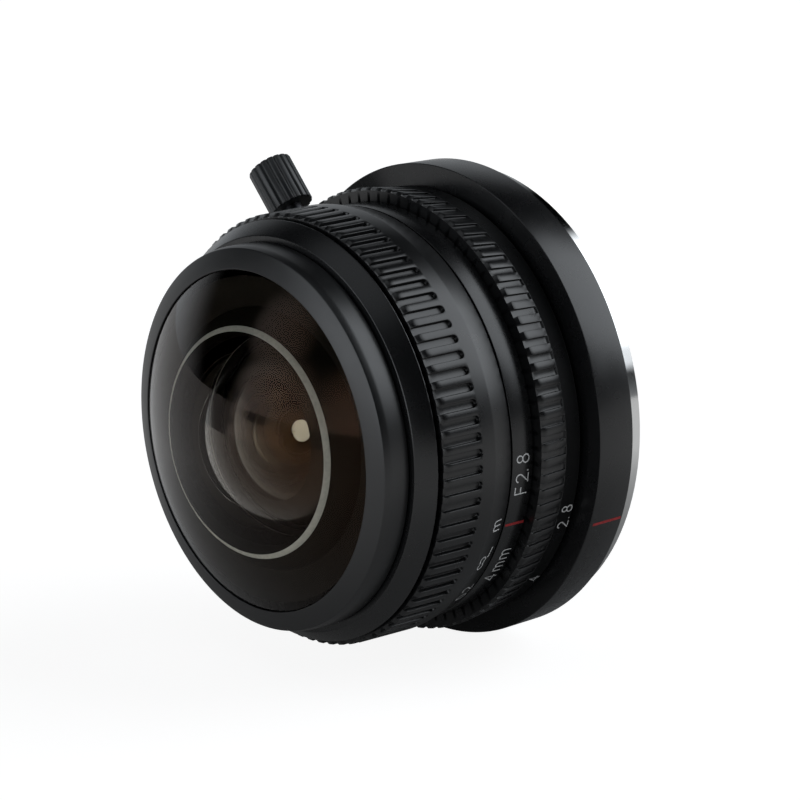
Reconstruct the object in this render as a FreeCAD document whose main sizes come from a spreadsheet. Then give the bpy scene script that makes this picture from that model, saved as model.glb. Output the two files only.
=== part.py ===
"""Manual circular-fisheye camera lens, built as separate pieces.

The optical axis runs along Y. The origin is the centre of the rear seat of the bayonet ring, the
front glass points to -Y, and +Z is up. Stations along the axis are written as the distance in
front of that seat, so a station of 10 lies at Y = -10.
"""
import FreeCAD, Part
import Sketcher
import math
import os

doc = FreeCAD.newDocument("fisheye_lens")
sheet = doc.addObject("Spreadsheet::Sheet", "sizes")

# Driving dimensions, in millimetres and degrees
SIZES = {
    # clearances
    "seat_gap": 0.03,
    "running_gap": 0.12,
    "thread_gap": 0.05,
    "edge_break": 0.2,
    "rib_bevel": 0.4,
    "cut_margin": 1.0,
    "seat_relief_width": 2.3,
    "seat_relief_depth": 0.3,
    "relief_wall": 1.05,
    "relief_floor": 2.0,
    # bayonet ring
    "mount_radius": 29.74,
    "mount_thickness": 2.29,
    "shim_thickness": 0.1,
    "throat_clear_width": 3.9,
    "spigot_wall": 1.6,
    "spigot_length": 4.0,
    "lug_height": 1.9,
    "lug_thickness": 1.4,
    "lug_setback": 1.7,
    "lug_angle": 56,
    "lug_count": 3,
    "mount_screw_inset": 2.34,
    "mount_screw_count": 4,
    "mount_screw_start": 45,
    "lock_hole_radius": 1.3,
    "lock_hole_depth": 1.5,
    "lock_hole_angle": 270,
    # screws
    "screw_radius": 0.95,
    "screw_head_radius": 1.7,
    "screw_head_height": 1.1,
    "screw_length": 5.0,
    "small_screw_radius": 0.7,
    "small_screw_head_radius": 1.3,
    "small_screw_head_height": 0.8,
    "recess_width": 0.42,
    "recess_depth": 0.5,
    "notch_width": 1.05,
    # rear housing with its fixed sleeve
    "housing_rear_step": 1.09,
    "housing_flare": 0.17,
    "housing_front": 8.17,
    "housing_bore_step": 0.2,
    "web_rear": 6.4,
    "web_thickness": 2.6,
    "web_gap": 0.3,
    "sleeve_wall": 1.9,
    "barrel_clear_width": 2.3,
    "sleeve_step_gap": 0.05,
    "sleeve_step_height": 0.5,
    "sleeve_overhang": 2.0,
    # index ring
    "index_wall": 1.63,
    "index_rear_gap": 0.15,
    "index_band_length": 3.37,
    "index_line_gap": 0.2,
    # aperture ring
    "aperture_rear_gap": 0.25,
    "aperture_band_wall": 2.7,
    "aperture_tail_length": 0.83,
    "aperture_tail_wall": 1.8,
    "aperture_band_length": 2.49,
    "aperture_rib_rear_wall": 2.88,
    "aperture_rib_length": 4.39,
    "aperture_front_wall": 3.47,
    "aperture_rib_count": 88,
    "aperture_groove_width": 0.95,
    "aperture_groove_wall": 2.62,
    "aperture_groove_front_wall": 3.05,
    # knurled lever on the aperture ring
    "lever_angle": 134.4,
    "lever_setback": 1.45,
    "lever_neck_length": 2.65,
    "lever_head_length": 6.7,
    "lever_radius": 3.0,
    "lever_neck_radius": 1.35,
    "lever_thread_radius": 0.95,
    "lever_thread_depth": 2.2,
    "lever_flute_count": 18,
    "lever_flute_radius": 0.36,
    "lever_crown": 0.15,
    # focusing ring
    "focus_tail_wall": 1.65,
    "focus_taper_length": 3.3,
    "focus_wall": 2.37,
    "focus_length": 11.4,
    "focus_groove_wall": 1.8,
    "focus_rib_length": 6.03,
    "focus_groove_width": 1.06,
    "focus_rib_count": 84,
    "focus_shoulder_length": 4.0,
    "focus_mid_step": 0.45,
    "focus_seat_depth": 3.0,
    "focus_front_step": 1.1,
    "focus_retainer_step": 0.25,
    # focusing helicoid
    "helicoid_wall": 1.15,
    "helicoid_gap": 0.15,
    "helicoid_setback": 1.6,
    "helicoid_flange": 1.6,
    "clamp_setback": 0.2,
    "clamp_width": 2.6,
    # lens barrel
    "barrel_radius": 21.3,
    "barrel_front_reach": 2.1,
    "barrel_front_wall": 2.2,
    "barrel_shoulder": 1.8,
    "barrel_rear_radius": 17.5,
    "barrel_skirt": 4.1,
    # front barrel with the conical band
    "band_gap": 0.5,
    "band_setback": 0.67,
    "band_length": 2.62,
    "band_front_wall": 1.66,
    "ring_thread_wall": 1.3,
    "front_thread_setback": 1.4,
    "glass_seat_step": 0.65,
    # front retaining ring
    "lip_width": 0.7,
    "lip_height": 0.71,
    "face_overhang": 0.6,
    "face_slope": 0.88,
    "ring_overhang": 0.82,
    "bevel_length": 0.91,
    "ring_gap": 0.2,
    # glass
    "glass_1_overhang": 1.3,
    "glass_1_rim_height": 3.95,
    "glass_1_sag": 7.45,
    "glass_1_step_gap": 0.1,
    "glass_1_step_length": 2.25,
    "glass_1_mouth_radius": 14.5,
    "glass_1_hollow_radius": 13.0,
    "glass_1_hollow_rim": 3.4,
    "glass_1_hollow_depth": 11.0,
    "glass_2_radius": 14.2,
    "glass_2_seat_depth": 3.0,
    "glass_2_edge": 2.15,
    "glass_2_sag": 4.85,
    "glass_2_hollow_radius": 7.6,
    "glass_2_hollow_depth": 5.3,
    "glass_3_radius": 9.2,
    "glass_3_seat_depth": 4.9,
    "glass_3_edge": 3.6,
    "glass_3_sag": 0.6,
    "glass_3_hollow_radius": 6.5,
    "glass_3_hollow_depth": 2.7,
    "glass_4_radius": 7.5,
    "glass_4_retainer_length": 2.0,
    "glass_4_edge": 2.7,
    "stop_length": 2.2,
    "glass_4_rear_sag": 0.9,
    "glass_4_sag": 0.9,
    "glass_5_radius": 7.8,
    "glass_5_depth": 2.0,
    "glass_5_sag": 1.0,
    "glass_5_edge": 2.3,
    "joint_sag": 1.7,
    "glass_6_centre": 1.0,
    "glass_7_radius": 8.6,
    "rear_air_gap": 2.0,
    "glass_7_sag": 0.9,
    "glass_7_edge": 2.0,
    "glass_7_rear_sag": 1.0,
    "light_stop_radius": 6.6,
    # iris
    "iris_bore": 12.9,
    "iris_front_space": 0.6,
    "iris_cover_thickness": 0.5,
    "iris_ring_half_thickness": 0.525,
    "iris_ring_radius": 12.78,
    "iris_ring_bore": 8.3,
    "iris_blade_space": 1.65,
    "iris_plate_thickness": 0.4,
    "blade_count": 6,
    "blade_level": 0.17,
    "blade_thickness": 0.1,
    "blade_inner_radius": 3.4,
    "blade_outer_radius": 7.9,
    "blade_span": 125,
    "blade_pivot_circle": 9.0,
    "blade_tail": 5.0,
    "blade_arm_width": 1.1,
    "blade_pin_radius": 0.4,
    "blade_drive_radius": 0.25,
    "blade_swing": 18.5,
    "aperture_turn": 66,
    "drive_angle": 90,
    "drive_setback": 1.805,
    "drive_radius": 0.35,
    "drive_reach": 1.2,
    "focus_travel": 0.4,
    # rear cell
    "cell_radius": 12.85,
    "cell_step_length": 0.2,
    "cell_rear_radius": 11.5,
    "cell_overhang": 2.5,
    # guide keys
    "key_width": 4.0,
    "key_depth": 1.3,
    "key_setback": 2.0,
    "key_angle": 20,
    # rear baffle
    "baffle_rear": -0.9,
    "baffle_plate": 1.0,
    "baffle_wall": 3.0,
    "baffle_bore": 12.0,
    "baffle_screw_count": 3,
}


class Size:
    """A number together with the sheet expression that it comes from."""

    def __init__(self, value, text):
        self.value = float(value)
        self.text = text

    def __add__(self, other):
        other = as_size(other)
        return Size(self.value + other.value, f"({self.text} + {other.text})")

    def __sub__(self, other):
        other = as_size(other)
        return Size(self.value - other.value, f"({self.text} - {other.text})")

    def __mul__(self, other):
        other = as_size(other)
        return Size(self.value * other.value, f"({self.text} * {other.text})")

    def __truediv__(self, other):
        other = as_size(other)
        return Size(self.value / other.value, f"({self.text} / {other.text})")

    def __neg__(self):
        return Size(-self.value, f"(0 - {self.text})")


def as_size(number):
    if isinstance(number, Size):
        return number
    return Size(number, repr(float(number)))


class Sheet:
    """Reads the sheet's cells as sizes, by their alias."""

    def __getattr__(self, alias):
        return Size(SIZES[alias], f"sizes.{alias}")


def fill_sheet():
    for row, alias in enumerate(SIZES, start=1):
        sheet.set(f"A{row}", alias)
        sheet.set(f"B{row}", str(SIZES[alias]))
        sheet.setAlias(f"B{row}", alias)
    doc.recompute()


fill_sheet()
mm = Sheet()
ORIGIN = FreeCAD.Vector(0, 0, 0)
X_AXIS = FreeCAD.Vector(1, 0, 0)
Y_AXIS = FreeCAD.Vector(0, 1, 0)
Z_AXIS = FreeCAD.Vector(0, 0, 1)
# A pad, pocket or cylinder drawn along Z points to the front of the lens after this turn
TO_FRONT = FreeCAD.Rotation(X_AXIS, 90)
nodes = []


def keep(piece, label):
    piece.Label = label
    nodes.append(piece)
    return piece


def origin_part(body, role):
    return [part for part in body.Origin.OriginFeatures if part.Role == role][0]


def fix_point(sketch, geometry, end, across, along):
    """Holds one end of a sketch line at two sizes measured from the sketch's origin."""
    for kind, size in (("DistanceX", across), ("DistanceY", along)):
        if size.value < 0:
            number = sketch.addConstraint(
                Sketcher.Constraint(kind, geometry, end, -1, 1, -size.value))
            sketch.setExpression(f"Constraints[{number}]", (-size).text)
        elif size.value == 0:
            axis = -2 if kind == "DistanceX" else -1
            sketch.addConstraint(Sketcher.Constraint("PointOnObject", geometry, end, axis))
        else:
            number = sketch.addConstraint(
                Sketcher.Constraint(kind, -1, 1, geometry, end, size.value))
            sketch.setExpression(f"Constraints[{number}]", size.text)


def dome_arc(start, end):
    """Arc between two outline points whose centre lies on the optical axis."""
    (start_radius, start_station), (end_radius, end_station) = start, end
    centre = (start_radius ** 2 + start_station ** 2 - end_radius ** 2 - end_station ** 2)
    centre /= 2 * (start_station - end_station)
    radius = math.hypot(start_radius, start_station - centre)
    circle = Part.Circle(FreeCAD.Vector(0, centre, 0), Z_AXIS, radius)
    first = math.atan2(start_station - centre, start_radius)
    last = math.atan2(end_station - centre, end_radius)
    forward = (last - first) % (2 * math.pi) < math.pi
    if forward:
        return Part.ArcOfCircle(circle, first, last), forward
    return Part.ArcOfCircle(circle, last, first), forward


def draw_outline(sketch, points):
    """Draws a closed outline of sizes; a point with a third entry starts a domed edge."""
    ends = []
    for number, point in enumerate(points):
        after = points[(number + 1) % len(points)]
        start = (point[0].value, point[1].value)
        end = (after[0].value, after[1].value)
        if len(point) == 3:
            arc, forward = dome_arc(start, end)
            sketch.addGeometry(arc, False)
            sketch.addConstraint(Sketcher.Constraint("PointOnObject", number, 3, -2))
            ends.append((1, 2) if forward else (2, 1))
        else:
            line = Part.LineSegment(FreeCAD.Vector(*start, 0), FreeCAD.Vector(*end, 0))
            sketch.addGeometry(line, False)
            ends.append((1, 2))
    for number, point in enumerate(points):
        before = (number - 1) % len(points)
        sketch.addConstraint(
            Sketcher.Constraint("Coincident", before, ends[before][1], number, ends[number][0]))
        fix_point(sketch, number, ends[number][0], point[0], point[1])


def axial_sketch(body, name, outline):
    """Outline in the plane of the optical axis: radius across, station to the front along."""
    sketch = body.newObject("Sketcher::SketchObject", name)
    sketch.AttachmentSupport = [(origin_part(body, "XY_Plane"), "")]
    sketch.MapMode = "FlatFace"
    sketch.AttachmentOffset = FreeCAD.Placement(ORIGIN, FreeCAD.Rotation(X_AXIS, 180))
    draw_outline(sketch, [tuple(as_size(v) if v != "dome" else v for v in p) for p in outline])
    return sketch


def turned(label, outline):
    """A piece turned about the optical axis from its half section."""
    body = doc.addObject("PartDesign::Body", label)
    sketch = axial_sketch(body, label + "_section", outline)
    turn = body.newObject("PartDesign::Revolution", label + "_turned")
    turn.Profile = sketch
    turn.ReferenceAxis = (sketch, ["V_Axis"])
    turn.Angle = 360
    sketch.Visibility = False
    doc.recompute()
    return body


def cut_around(body, outline, angle, first_angle=None, count=1):
    """Turned recess over part of a turn, centred on its first angle, repeated round the axis."""
    name = f"{body.Label}_recess_{len(body.Group)}"
    before = body.Shape.Volume
    sketch = axial_sketch(body, name + "_section", outline)
    cut = body.newObject("PartDesign::Groove", name)
    cut.Profile = sketch
    cut.ReferenceAxis = (sketch, ["V_Axis"])
    cut.setExpression("Angle", as_size(angle).text)
    cut.Midplane = True
    sketch.Visibility = False
    if first_angle is not None:
        turn_sketch(sketch, first_angle)
    doc.recompute()
    finish_cut(body, cut, before, count)


def turn_sketch(sketch, angle):
    """Turns an axial sketch about the optical axis, by an angle from +X towards +Z."""
    spin = FreeCAD.Rotation(Y_AXIS, -as_size(angle).value)
    sketch.AttachmentOffset = FreeCAD.Placement(
        ORIGIN, spin * FreeCAD.Rotation(X_AXIS, 180))


def finish_cut(body, cut, before, count):
    """Repeats a cut round the optical axis and makes sure that it took material away."""
    if body.Shape.Volume >= before - 1e-6:
        raise ValueError(f"{cut.Name} cut nothing from {body.Label}")
    count = as_size(count)
    if count.value > 1:
        pattern = body.newObject("PartDesign::PolarPattern", cut.Name + "_pattern")
        pattern.Originals = [cut]
        pattern.Axis = (origin_part(body, "Y_Axis"), [""])
        pattern.Angle = 360
        pattern.setExpression("Occurrences", count.text)
        body.Tip = pattern
        doc.recompute()


def hole_sketch(body, name, placement, across, along, radius):
    """A circle on a plane of its own, at two sizes from that plane's origin."""
    sketch = body.newObject("Sketcher::SketchObject", name)
    sketch.AttachmentSupport = [(origin_part(body, "XY_Plane"), "")]
    sketch.MapMode = "FlatFace"
    sketch.AttachmentOffset = placement
    centre = FreeCAD.Vector(across.value, along.value, 0)
    sketch.addGeometry(Part.Circle(centre, Z_AXIS, radius.value), False)
    fix_point(sketch, 0, 3, across, along)
    number = sketch.addConstraint(Sketcher.Constraint("Radius", 0, radius.value))
    sketch.setExpression(f"Constraints[{number}]", radius.text)
    sketch.Visibility = False
    return sketch


def pocket(body, sketch, depth, count=1):
    before = body.Shape.Volume
    cut = body.newObject("PartDesign::Pocket", f"{sketch.Name}_pocket")
    cut.Profile = sketch
    cut.setExpression("Length", as_size(depth).text)
    doc.recompute()
    finish_cut(body, cut, before, count)


def cut_axial_holes(body, front, depth, radius, circle, angle, count=1):
    """Round holes along the optical axis, from a front station backwards."""
    front, angle = as_size(front), as_size(angle)
    turn = FreeCAD.Rotation(Y_AXIS, -angle.value)
    place = FreeCAD.Placement(FreeCAD.Vector(0, -front.value, 0), turn * TO_FRONT)
    name = f"{body.Label}_hole_{len(body.Group)}"
    sketch = hole_sketch(body, name, place, as_size(circle), as_size(0), as_size(radius))
    sketch.setExpression("AttachmentOffset.Base.y", (-front).text)
    pocket(body, sketch, depth, count)


def side_placement(radius, angle):
    """Plane that touches a cylinder: tangent across, station along, normal pointing outwards."""
    upright = FreeCAD.Rotation(Z_AXIS, FreeCAD.Vector(0, -1, 0), X_AXIS, "XYZ")
    turn = FreeCAD.Rotation(Y_AXIS, -as_size(angle).value)
    base = turn.multVec(FreeCAD.Vector(radius.value, 0, 0))
    return FreeCAD.Placement(base, turn * upright)


def cut_radial_hole(body, station, outside, floor, radius, angle):
    """Round hole pointing at the optical axis, from an outside radius down to a floor radius."""
    name = f"{body.Label}_hole_{len(body.Group)}"
    place = side_placement(as_size(outside), angle)
    sketch = hole_sketch(body, name, place, as_size(0), as_size(station), as_size(radius))
    pocket(body, sketch, outside - floor)


def cut_side_groove(body, rear, front, outside, floor, width, angle, count=1, rounded=False,
                    slope=0):
    """Groove along the optical axis, cut from outside down to a flat floor that can rise."""
    rear, front, width = as_size(rear), as_size(front), as_size(width)
    outside, floor = as_size(outside), as_size(floor)
    half = width / 2
    sketch = body.newObject("Sketcher::SketchObject", f"{body.Label}_groove_{len(body.Group)}")
    sketch.AttachmentSupport = [(origin_part(body, "XY_Plane"), "")]
    sketch.MapMode = "FlatFace"
    hinge = FreeCAD.Vector(0, rear.value, 0)
    rise = FreeCAD.Placement(FreeCAD.Vector(), FreeCAD.Rotation(X_AXIS, slope), hinge)
    sketch.AttachmentOffset = side_placement(outside, angle) * rise
    sketch.Visibility = False
    if not rounded:
        draw_outline(sketch, [(-half, rear), (half, rear), (half, front), (-half, front)])
        pocket(body, sketch, outside - floor, count)
        return
    # the rear end is a half circle as wide as the groove
    bend = rear + half
    corners = [(half, bend), (half, front), (-half, front), (-half, bend)]
    points = [FreeCAD.Vector(a.value, b.value, 0) for a, b in corners]
    for start, end in zip(points, points[1:]):
        sketch.addGeometry(Part.LineSegment(start, end), False)
    middle = FreeCAD.Vector(0, bend.value, 0)
    circle = Part.Circle(middle, Z_AXIS, half.value)
    sketch.addGeometry(Part.ArcOfCircle(circle, math.pi, 2 * math.pi), False)
    for number in (1, 2):
        sketch.addConstraint(Sketcher.Constraint("Coincident", number - 1, 2, number, 1))
    sketch.addConstraint(Sketcher.Constraint("Coincident", 2, 2, 3, 1))
    sketch.addConstraint(Sketcher.Constraint("Coincident", 3, 2, 0, 1))
    for number, corner in enumerate(corners[:3]):
        fix_point(sketch, number, 1, *corner)
    fix_point(sketch, 2, 2, *corners[3])
    number = sketch.addConstraint(Sketcher.Constraint("DistanceY", -1, 1, 3, 3, bend.value))
    sketch.setExpression(f"Constraints[{number}]", bend.text)
    pocket(body, sketch, outside - floor, count)


def turned_stem(label, outline):
    """A piece turned about its own Z axis, which points away from the optical axis."""
    body = doc.addObject("PartDesign::Body", label)
    sketch = body.newObject("Sketcher::SketchObject", label + "_section")
    sketch.AttachmentSupport = [(origin_part(body, "XZ_Plane"), "")]
    sketch.MapMode = "FlatFace"
    draw_outline(sketch, [tuple(as_size(v) if v != "dome" else v for v in p) for p in outline])
    turn = body.newObject("PartDesign::Revolution", label + "_turned")
    turn.Profile = sketch
    turn.ReferenceAxis = (sketch, ["V_Axis"])
    turn.Angle = 360
    sketch.Visibility = False
    doc.recompute()
    return body


def stand_out(piece, station, angle):
    """Points a piece's own Z axis away from the optical axis at a station and an angle."""
    station, angle = as_size(station), as_size(angle)
    piece.Placement = FreeCAD.Placement(
        FreeCAD.Vector(0, -station.value, 0), FreeCAD.Rotation(Y_AXIS, 90 - angle.value))
    piece.setExpression("Placement.Base.y", (-station).text)


def cylinder(name, radius, height, base=(0, 0, 0)):
    piece = doc.addObject("Part::Cylinder", name)
    piece.setExpression("Radius", as_size(radius).text)
    piece.setExpression("Height", as_size(height).text)
    place(piece, base)
    return piece


def box(name, lengths, base):
    piece = doc.addObject("Part::Box", name)
    for key, size in zip(("Length", "Width", "Height"), lengths):
        piece.setExpression(key, as_size(size).text)
    place(piece, base)
    return piece


def place(piece, base):
    piece.Placement = FreeCAD.Placement(ORIGIN, FreeCAD.Rotation())
    for key, size in zip("xyz", base):
        piece.setExpression(f"Placement.Base.{key}", as_size(size).text)


def fused(name, pieces):
    whole = doc.addObject("Part::MultiFuse", name)
    whole.Shapes = pieces
    whole.Refine = True
    return whole


def cut_from(name, base, tool):
    whole = doc.addObject("Part::Cut", name)
    whole.Base = base
    whole.Tool = tool
    return whole


def cross_screw(name, radius, head_radius, head_height, length):
    """A cross-head screw whose head stands on its own origin and whose shank points along Z."""
    head = cylinder(name + "_head", head_radius, head_height)
    shank = cylinder(name + "_shank", radius, length, (0, 0, head_height - mm.seat_gap))
    solid = fused(name + "_solid", [head, shank])
    reach = head_radius * 1.2
    wide = box(name + "_recess_a", (reach, mm.recess_width, mm.recess_depth),
               (-reach / 2, -mm.recess_width / 2, 0))
    tall = box(name + "_recess_b", (mm.recess_width, reach, mm.recess_depth),
               (-mm.recess_width / 2, -reach / 2, 0))
    return cut_from(name, solid, fused(name + "_recess", [wide, tall]))


def screw_circle(label, sizes, station, circle, angle, count):
    """Cross-head screws round the optical axis, driven from behind, in one node."""
    screws = []
    for number in range(int(as_size(count).value)):
        screw = cross_screw(f"{label}_{number}", *sizes)
        turn = as_size(angle).value + 360.0 * number / as_size(count).value
        spin = FreeCAD.Rotation(Y_AXIS, -turn)
        base = spin.multVec(FreeCAD.Vector(as_size(circle).value, -as_size(station).value, 0))
        screw.Placement = FreeCAD.Placement(base, spin * TO_FRONT)
        screws.append(screw)
    group = doc.addObject("Part::Compound", label)
    group.Links = screws
    return keep(group, label)


# Radii and stations worked out from the driving dimensions, each from what it fits
throat_radius = mm.barrel_rear_radius + mm.throat_clear_width
web_bore = mm.barrel_rear_radius + mm.web_gap
sleeve_bore = mm.barrel_radius + mm.barrel_clear_width
sleeve_radius = sleeve_bore + mm.sleeve_wall
drive_tip = sleeve_radius + mm.drive_reach
sleeve_front_radius = sleeve_radius - mm.sleeve_step_height
index_radius = sleeve_radius + mm.index_wall
aperture_band_radius = sleeve_radius + mm.aperture_band_wall
aperture_tail_radius = sleeve_radius + mm.aperture_tail_wall
aperture_rib_rear_radius = sleeve_radius + mm.aperture_rib_rear_wall
aperture_front_radius = sleeve_radius + mm.aperture_front_wall
aperture_groove_floor = sleeve_radius + mm.aperture_groove_wall
focus_tail_radius = sleeve_radius + mm.focus_tail_wall
focus_radius = sleeve_radius + mm.focus_wall
focus_groove_floor = sleeve_radius + mm.focus_groove_wall
focus_mid_bore = sleeve_radius + mm.focus_mid_step
focus_front_bore = sleeve_radius + mm.focus_front_step
focus_retainer_radius = sleeve_radius + mm.focus_retainer_step
clamp_bore = focus_front_bore - mm.clamp_width
helicoid_bore = mm.barrel_radius + mm.helicoid_gap
helicoid_radius = helicoid_bore + mm.helicoid_wall
barrel_front_bore = mm.barrel_radius - mm.barrel_front_wall
glass_1_step_radius = barrel_front_bore - mm.glass_1_step_gap
glass_1_radius = mm.barrel_radius + mm.glass_1_overhang
front_thread_radius = glass_1_radius + mm.ring_thread_wall
lip_radius = glass_1_radius - mm.lip_width
face_radius = front_thread_radius + mm.face_overhang
ring_radius = front_thread_radius + mm.ring_overhang
band_front_radius = front_thread_radius + mm.band_front_wall
band_radius = focus_radius - mm.band_setback
mount_screw_circle = mm.mount_radius - mm.mount_screw_inset
housing_rear_radius = mm.mount_radius + mm.housing_rear_step
housing_front_radius = housing_rear_radius + mm.housing_flare
spigot_radius = throat_radius + mm.spigot_wall
lug_radius = spigot_radius + mm.lug_height
housing_bore = throat_radius + mm.housing_bore_step
web_front = mm.web_rear + mm.web_thickness
aperture_band_rear = mm.housing_front + mm.aperture_tail_length
aperture_rib_rear = aperture_band_rear + mm.aperture_band_length
aperture_front = aperture_rib_rear + mm.aperture_rib_length
index_rear = aperture_front + mm.index_rear_gap
index_front = index_rear + mm.index_band_length
lever_station = aperture_front - mm.lever_setback
lever_underside = aperture_front_radius + mm.lever_neck_length
sleeve_step = index_front + mm.sleeve_step_gap
focus_rear = index_front + mm.index_line_gap
focus_crease = focus_rear + mm.focus_taper_length
focus_front = focus_rear + mm.focus_length
focus_groove_rear = focus_front - mm.focus_rib_length
focus_shoulder_front = focus_rear + mm.focus_shoulder_length
sleeve_front = focus_shoulder_front + mm.sleeve_overhang
focus_seat = focus_front - mm.focus_seat_depth
clamp_front = focus_front - mm.clamp_setback
band_rear = focus_front + mm.band_gap
band_front = band_rear + mm.band_length
front_thread_rear = band_rear + mm.front_thread_setback
barrel_front = band_rear + mm.barrel_front_reach
glass_seat = barrel_front + mm.glass_seat_step
glass_1_rim = glass_seat + mm.glass_1_rim_height
glass_1_apex = glass_1_rim + mm.glass_1_sag
lip_front = glass_1_rim + mm.lip_height
face_outer = lip_front - mm.face_slope
bevel_rear = face_outer - mm.bevel_length
ring_neck = band_front + mm.ring_gap
glass_1_rear = glass_seat - mm.glass_1_step_length
glass_1_hollow_apex = glass_1_rear + mm.glass_1_hollow_depth
glass_2_rear = glass_1_rear - mm.glass_2_seat_depth
glass_2_rim = glass_2_rear + mm.glass_2_edge
glass_2_apex = glass_2_rim + mm.glass_2_sag
glass_2_hollow_apex = glass_2_rear + mm.glass_2_hollow_depth
glass_3_rear = glass_2_rear - mm.glass_3_seat_depth
glass_3_rim = glass_3_rear + mm.glass_3_edge
glass_3_apex = glass_3_rim + mm.glass_3_sag
glass_3_hollow_apex = glass_3_rear + mm.glass_3_hollow_depth
glass_4_rim = glass_3_rear - mm.stop_length
glass_4_apex = glass_4_rim + mm.glass_4_sag
glass_4_rear_rim = glass_4_rim - mm.glass_4_edge
glass_4_rear_apex = glass_4_rear_rim - mm.glass_4_rear_sag
drive_station = aperture_front - mm.drive_setback
iris_ring_front = drive_station + mm.iris_ring_half_thickness
iris_ring_rear = drive_station - mm.iris_ring_half_thickness
iris_front = iris_ring_front + mm.iris_front_space
iris_plate_rear = iris_ring_rear - mm.iris_blade_space
barrel_step = iris_front + mm.barrel_shoulder
helicoid_rear = barrel_step + mm.helicoid_setback
key_front = barrel_step - mm.key_setback
barrel_rear = iris_plate_rear - mm.barrel_skirt
cell_step = barrel_rear + mm.cell_step_length
glass_5_rim = iris_plate_rear - mm.glass_5_depth
glass_5_apex = glass_5_rim + mm.glass_5_sag
glass_5_joint_rim = glass_5_rim - mm.glass_5_edge
glass_5_joint_apex = glass_5_joint_rim - mm.joint_sag
glass_6_rear = glass_5_joint_apex - mm.glass_6_centre
glass_7_rim = glass_6_rear - mm.rear_air_gap
glass_7_apex = glass_7_rim + mm.glass_7_sag
glass_7_rear_rim = glass_7_rim - mm.glass_7_edge
glass_7_rear_apex = glass_7_rear_rim - mm.glass_7_rear_sag
cell_rear = glass_7_rear_rim - mm.cell_overhang
housing_rear = mm.mount_thickness + mm.shim_thickness
aperture_rear = mm.housing_front + mm.aperture_rear_gap
focus_bore = sleeve_front_radius + mm.running_gap
helicoid_front = focus_seat + mm.helicoid_flange
pin_slot_front = drive_station + mm.drive_radius + mm.focus_travel + mm.running_gap * 2
pin_slot_rear = drive_station - mm.drive_radius - mm.running_gap * 2
pin_slot_angle = mm.aperture_turn + 6
pin_slot_middle = mm.drive_angle + mm.aperture_turn / 2
key_floor = mm.barrel_rear_radius - mm.key_depth
baffle_front = mm.baffle_rear + mm.baffle_plate
baffle_radius = throat_radius - mm.thread_gap
baffle_screw_circle = baffle_radius - mm.baffle_wall / 2
key_screw_circle = (web_bore + sleeve_bore) / 2
stack_front = iris_plate_rear + mm.iris_plate_thickness


def make_mount_ring():
    """Plated bayonet ring: rear seat, spigot with lugs, screw holes and the lock-pin hole."""
    lug_front = -mm.lug_setback
    lug_rear = lug_front - mm.lug_thickness
    seat_inner = spigot_radius + mm.seat_relief_width
    ring = turned("mount_ring", [
        (throat_radius, mm.mount_thickness),
        (mm.mount_radius, mm.mount_thickness),
        (mm.mount_radius, mm.edge_break),
        (mm.mount_radius - mm.edge_break, 0),
        (seat_inner, 0),
        (seat_inner, mm.seat_relief_depth),
        (spigot_radius, mm.seat_relief_depth),
        (spigot_radius, lug_front),
        (lug_radius, lug_front),
        (lug_radius, lug_rear),
        (spigot_radius, lug_rear),
        (spigot_radius, mm.edge_break - mm.spigot_length),
        (spigot_radius - mm.edge_break, -mm.spigot_length),
        (throat_radius, -mm.spigot_length),
    ])
    gap_angle = as_size(360) / mm.lug_count - mm.lug_angle
    cut_around(ring, [
        (spigot_radius, lug_front + mm.edge_break),
        (lug_radius + mm.edge_break, lug_front + mm.edge_break),
        (lug_radius + mm.edge_break, lug_rear - mm.edge_break),
        (spigot_radius, lug_rear - mm.edge_break),
    ], gap_angle, 30, mm.lug_count)
    head_floor = mm.screw_head_height + mm.running_gap * 2
    hole_radius = mm.screw_radius + mm.thread_gap
    cut_axial_holes(ring, mm.mount_thickness, mm.mount_thickness, hole_radius,
                    mount_screw_circle, mm.mount_screw_start, mm.mount_screw_count)
    cut_axial_holes(ring, head_floor, head_floor, mm.screw_head_radius + mm.running_gap,
                    mount_screw_circle, mm.mount_screw_start, mm.mount_screw_count)
    cut_axial_holes(ring, mm.lock_hole_depth, mm.lock_hole_depth, mm.lock_hole_radius,
                    mount_screw_circle, mm.lock_hole_angle)
    return keep(ring, "mount_ring")


def make_shim():
    """Thin spacing ring that sets the seat's distance to the glass."""
    shim = turned("mount_shim", [
        (housing_bore + mm.edge_break, mm.mount_thickness),
        (mm.mount_radius - mm.edge_break, mm.mount_thickness),
        (mm.mount_radius - mm.edge_break, housing_rear),
        (housing_bore + mm.edge_break, housing_rear),
    ])
    cut_axial_holes(shim, housing_rear, mm.shim_thickness, mm.screw_radius + mm.thread_gap,
                    mount_screw_circle, mm.mount_screw_start, mm.mount_screw_count)
    return keep(shim, "mount_shim")


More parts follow.
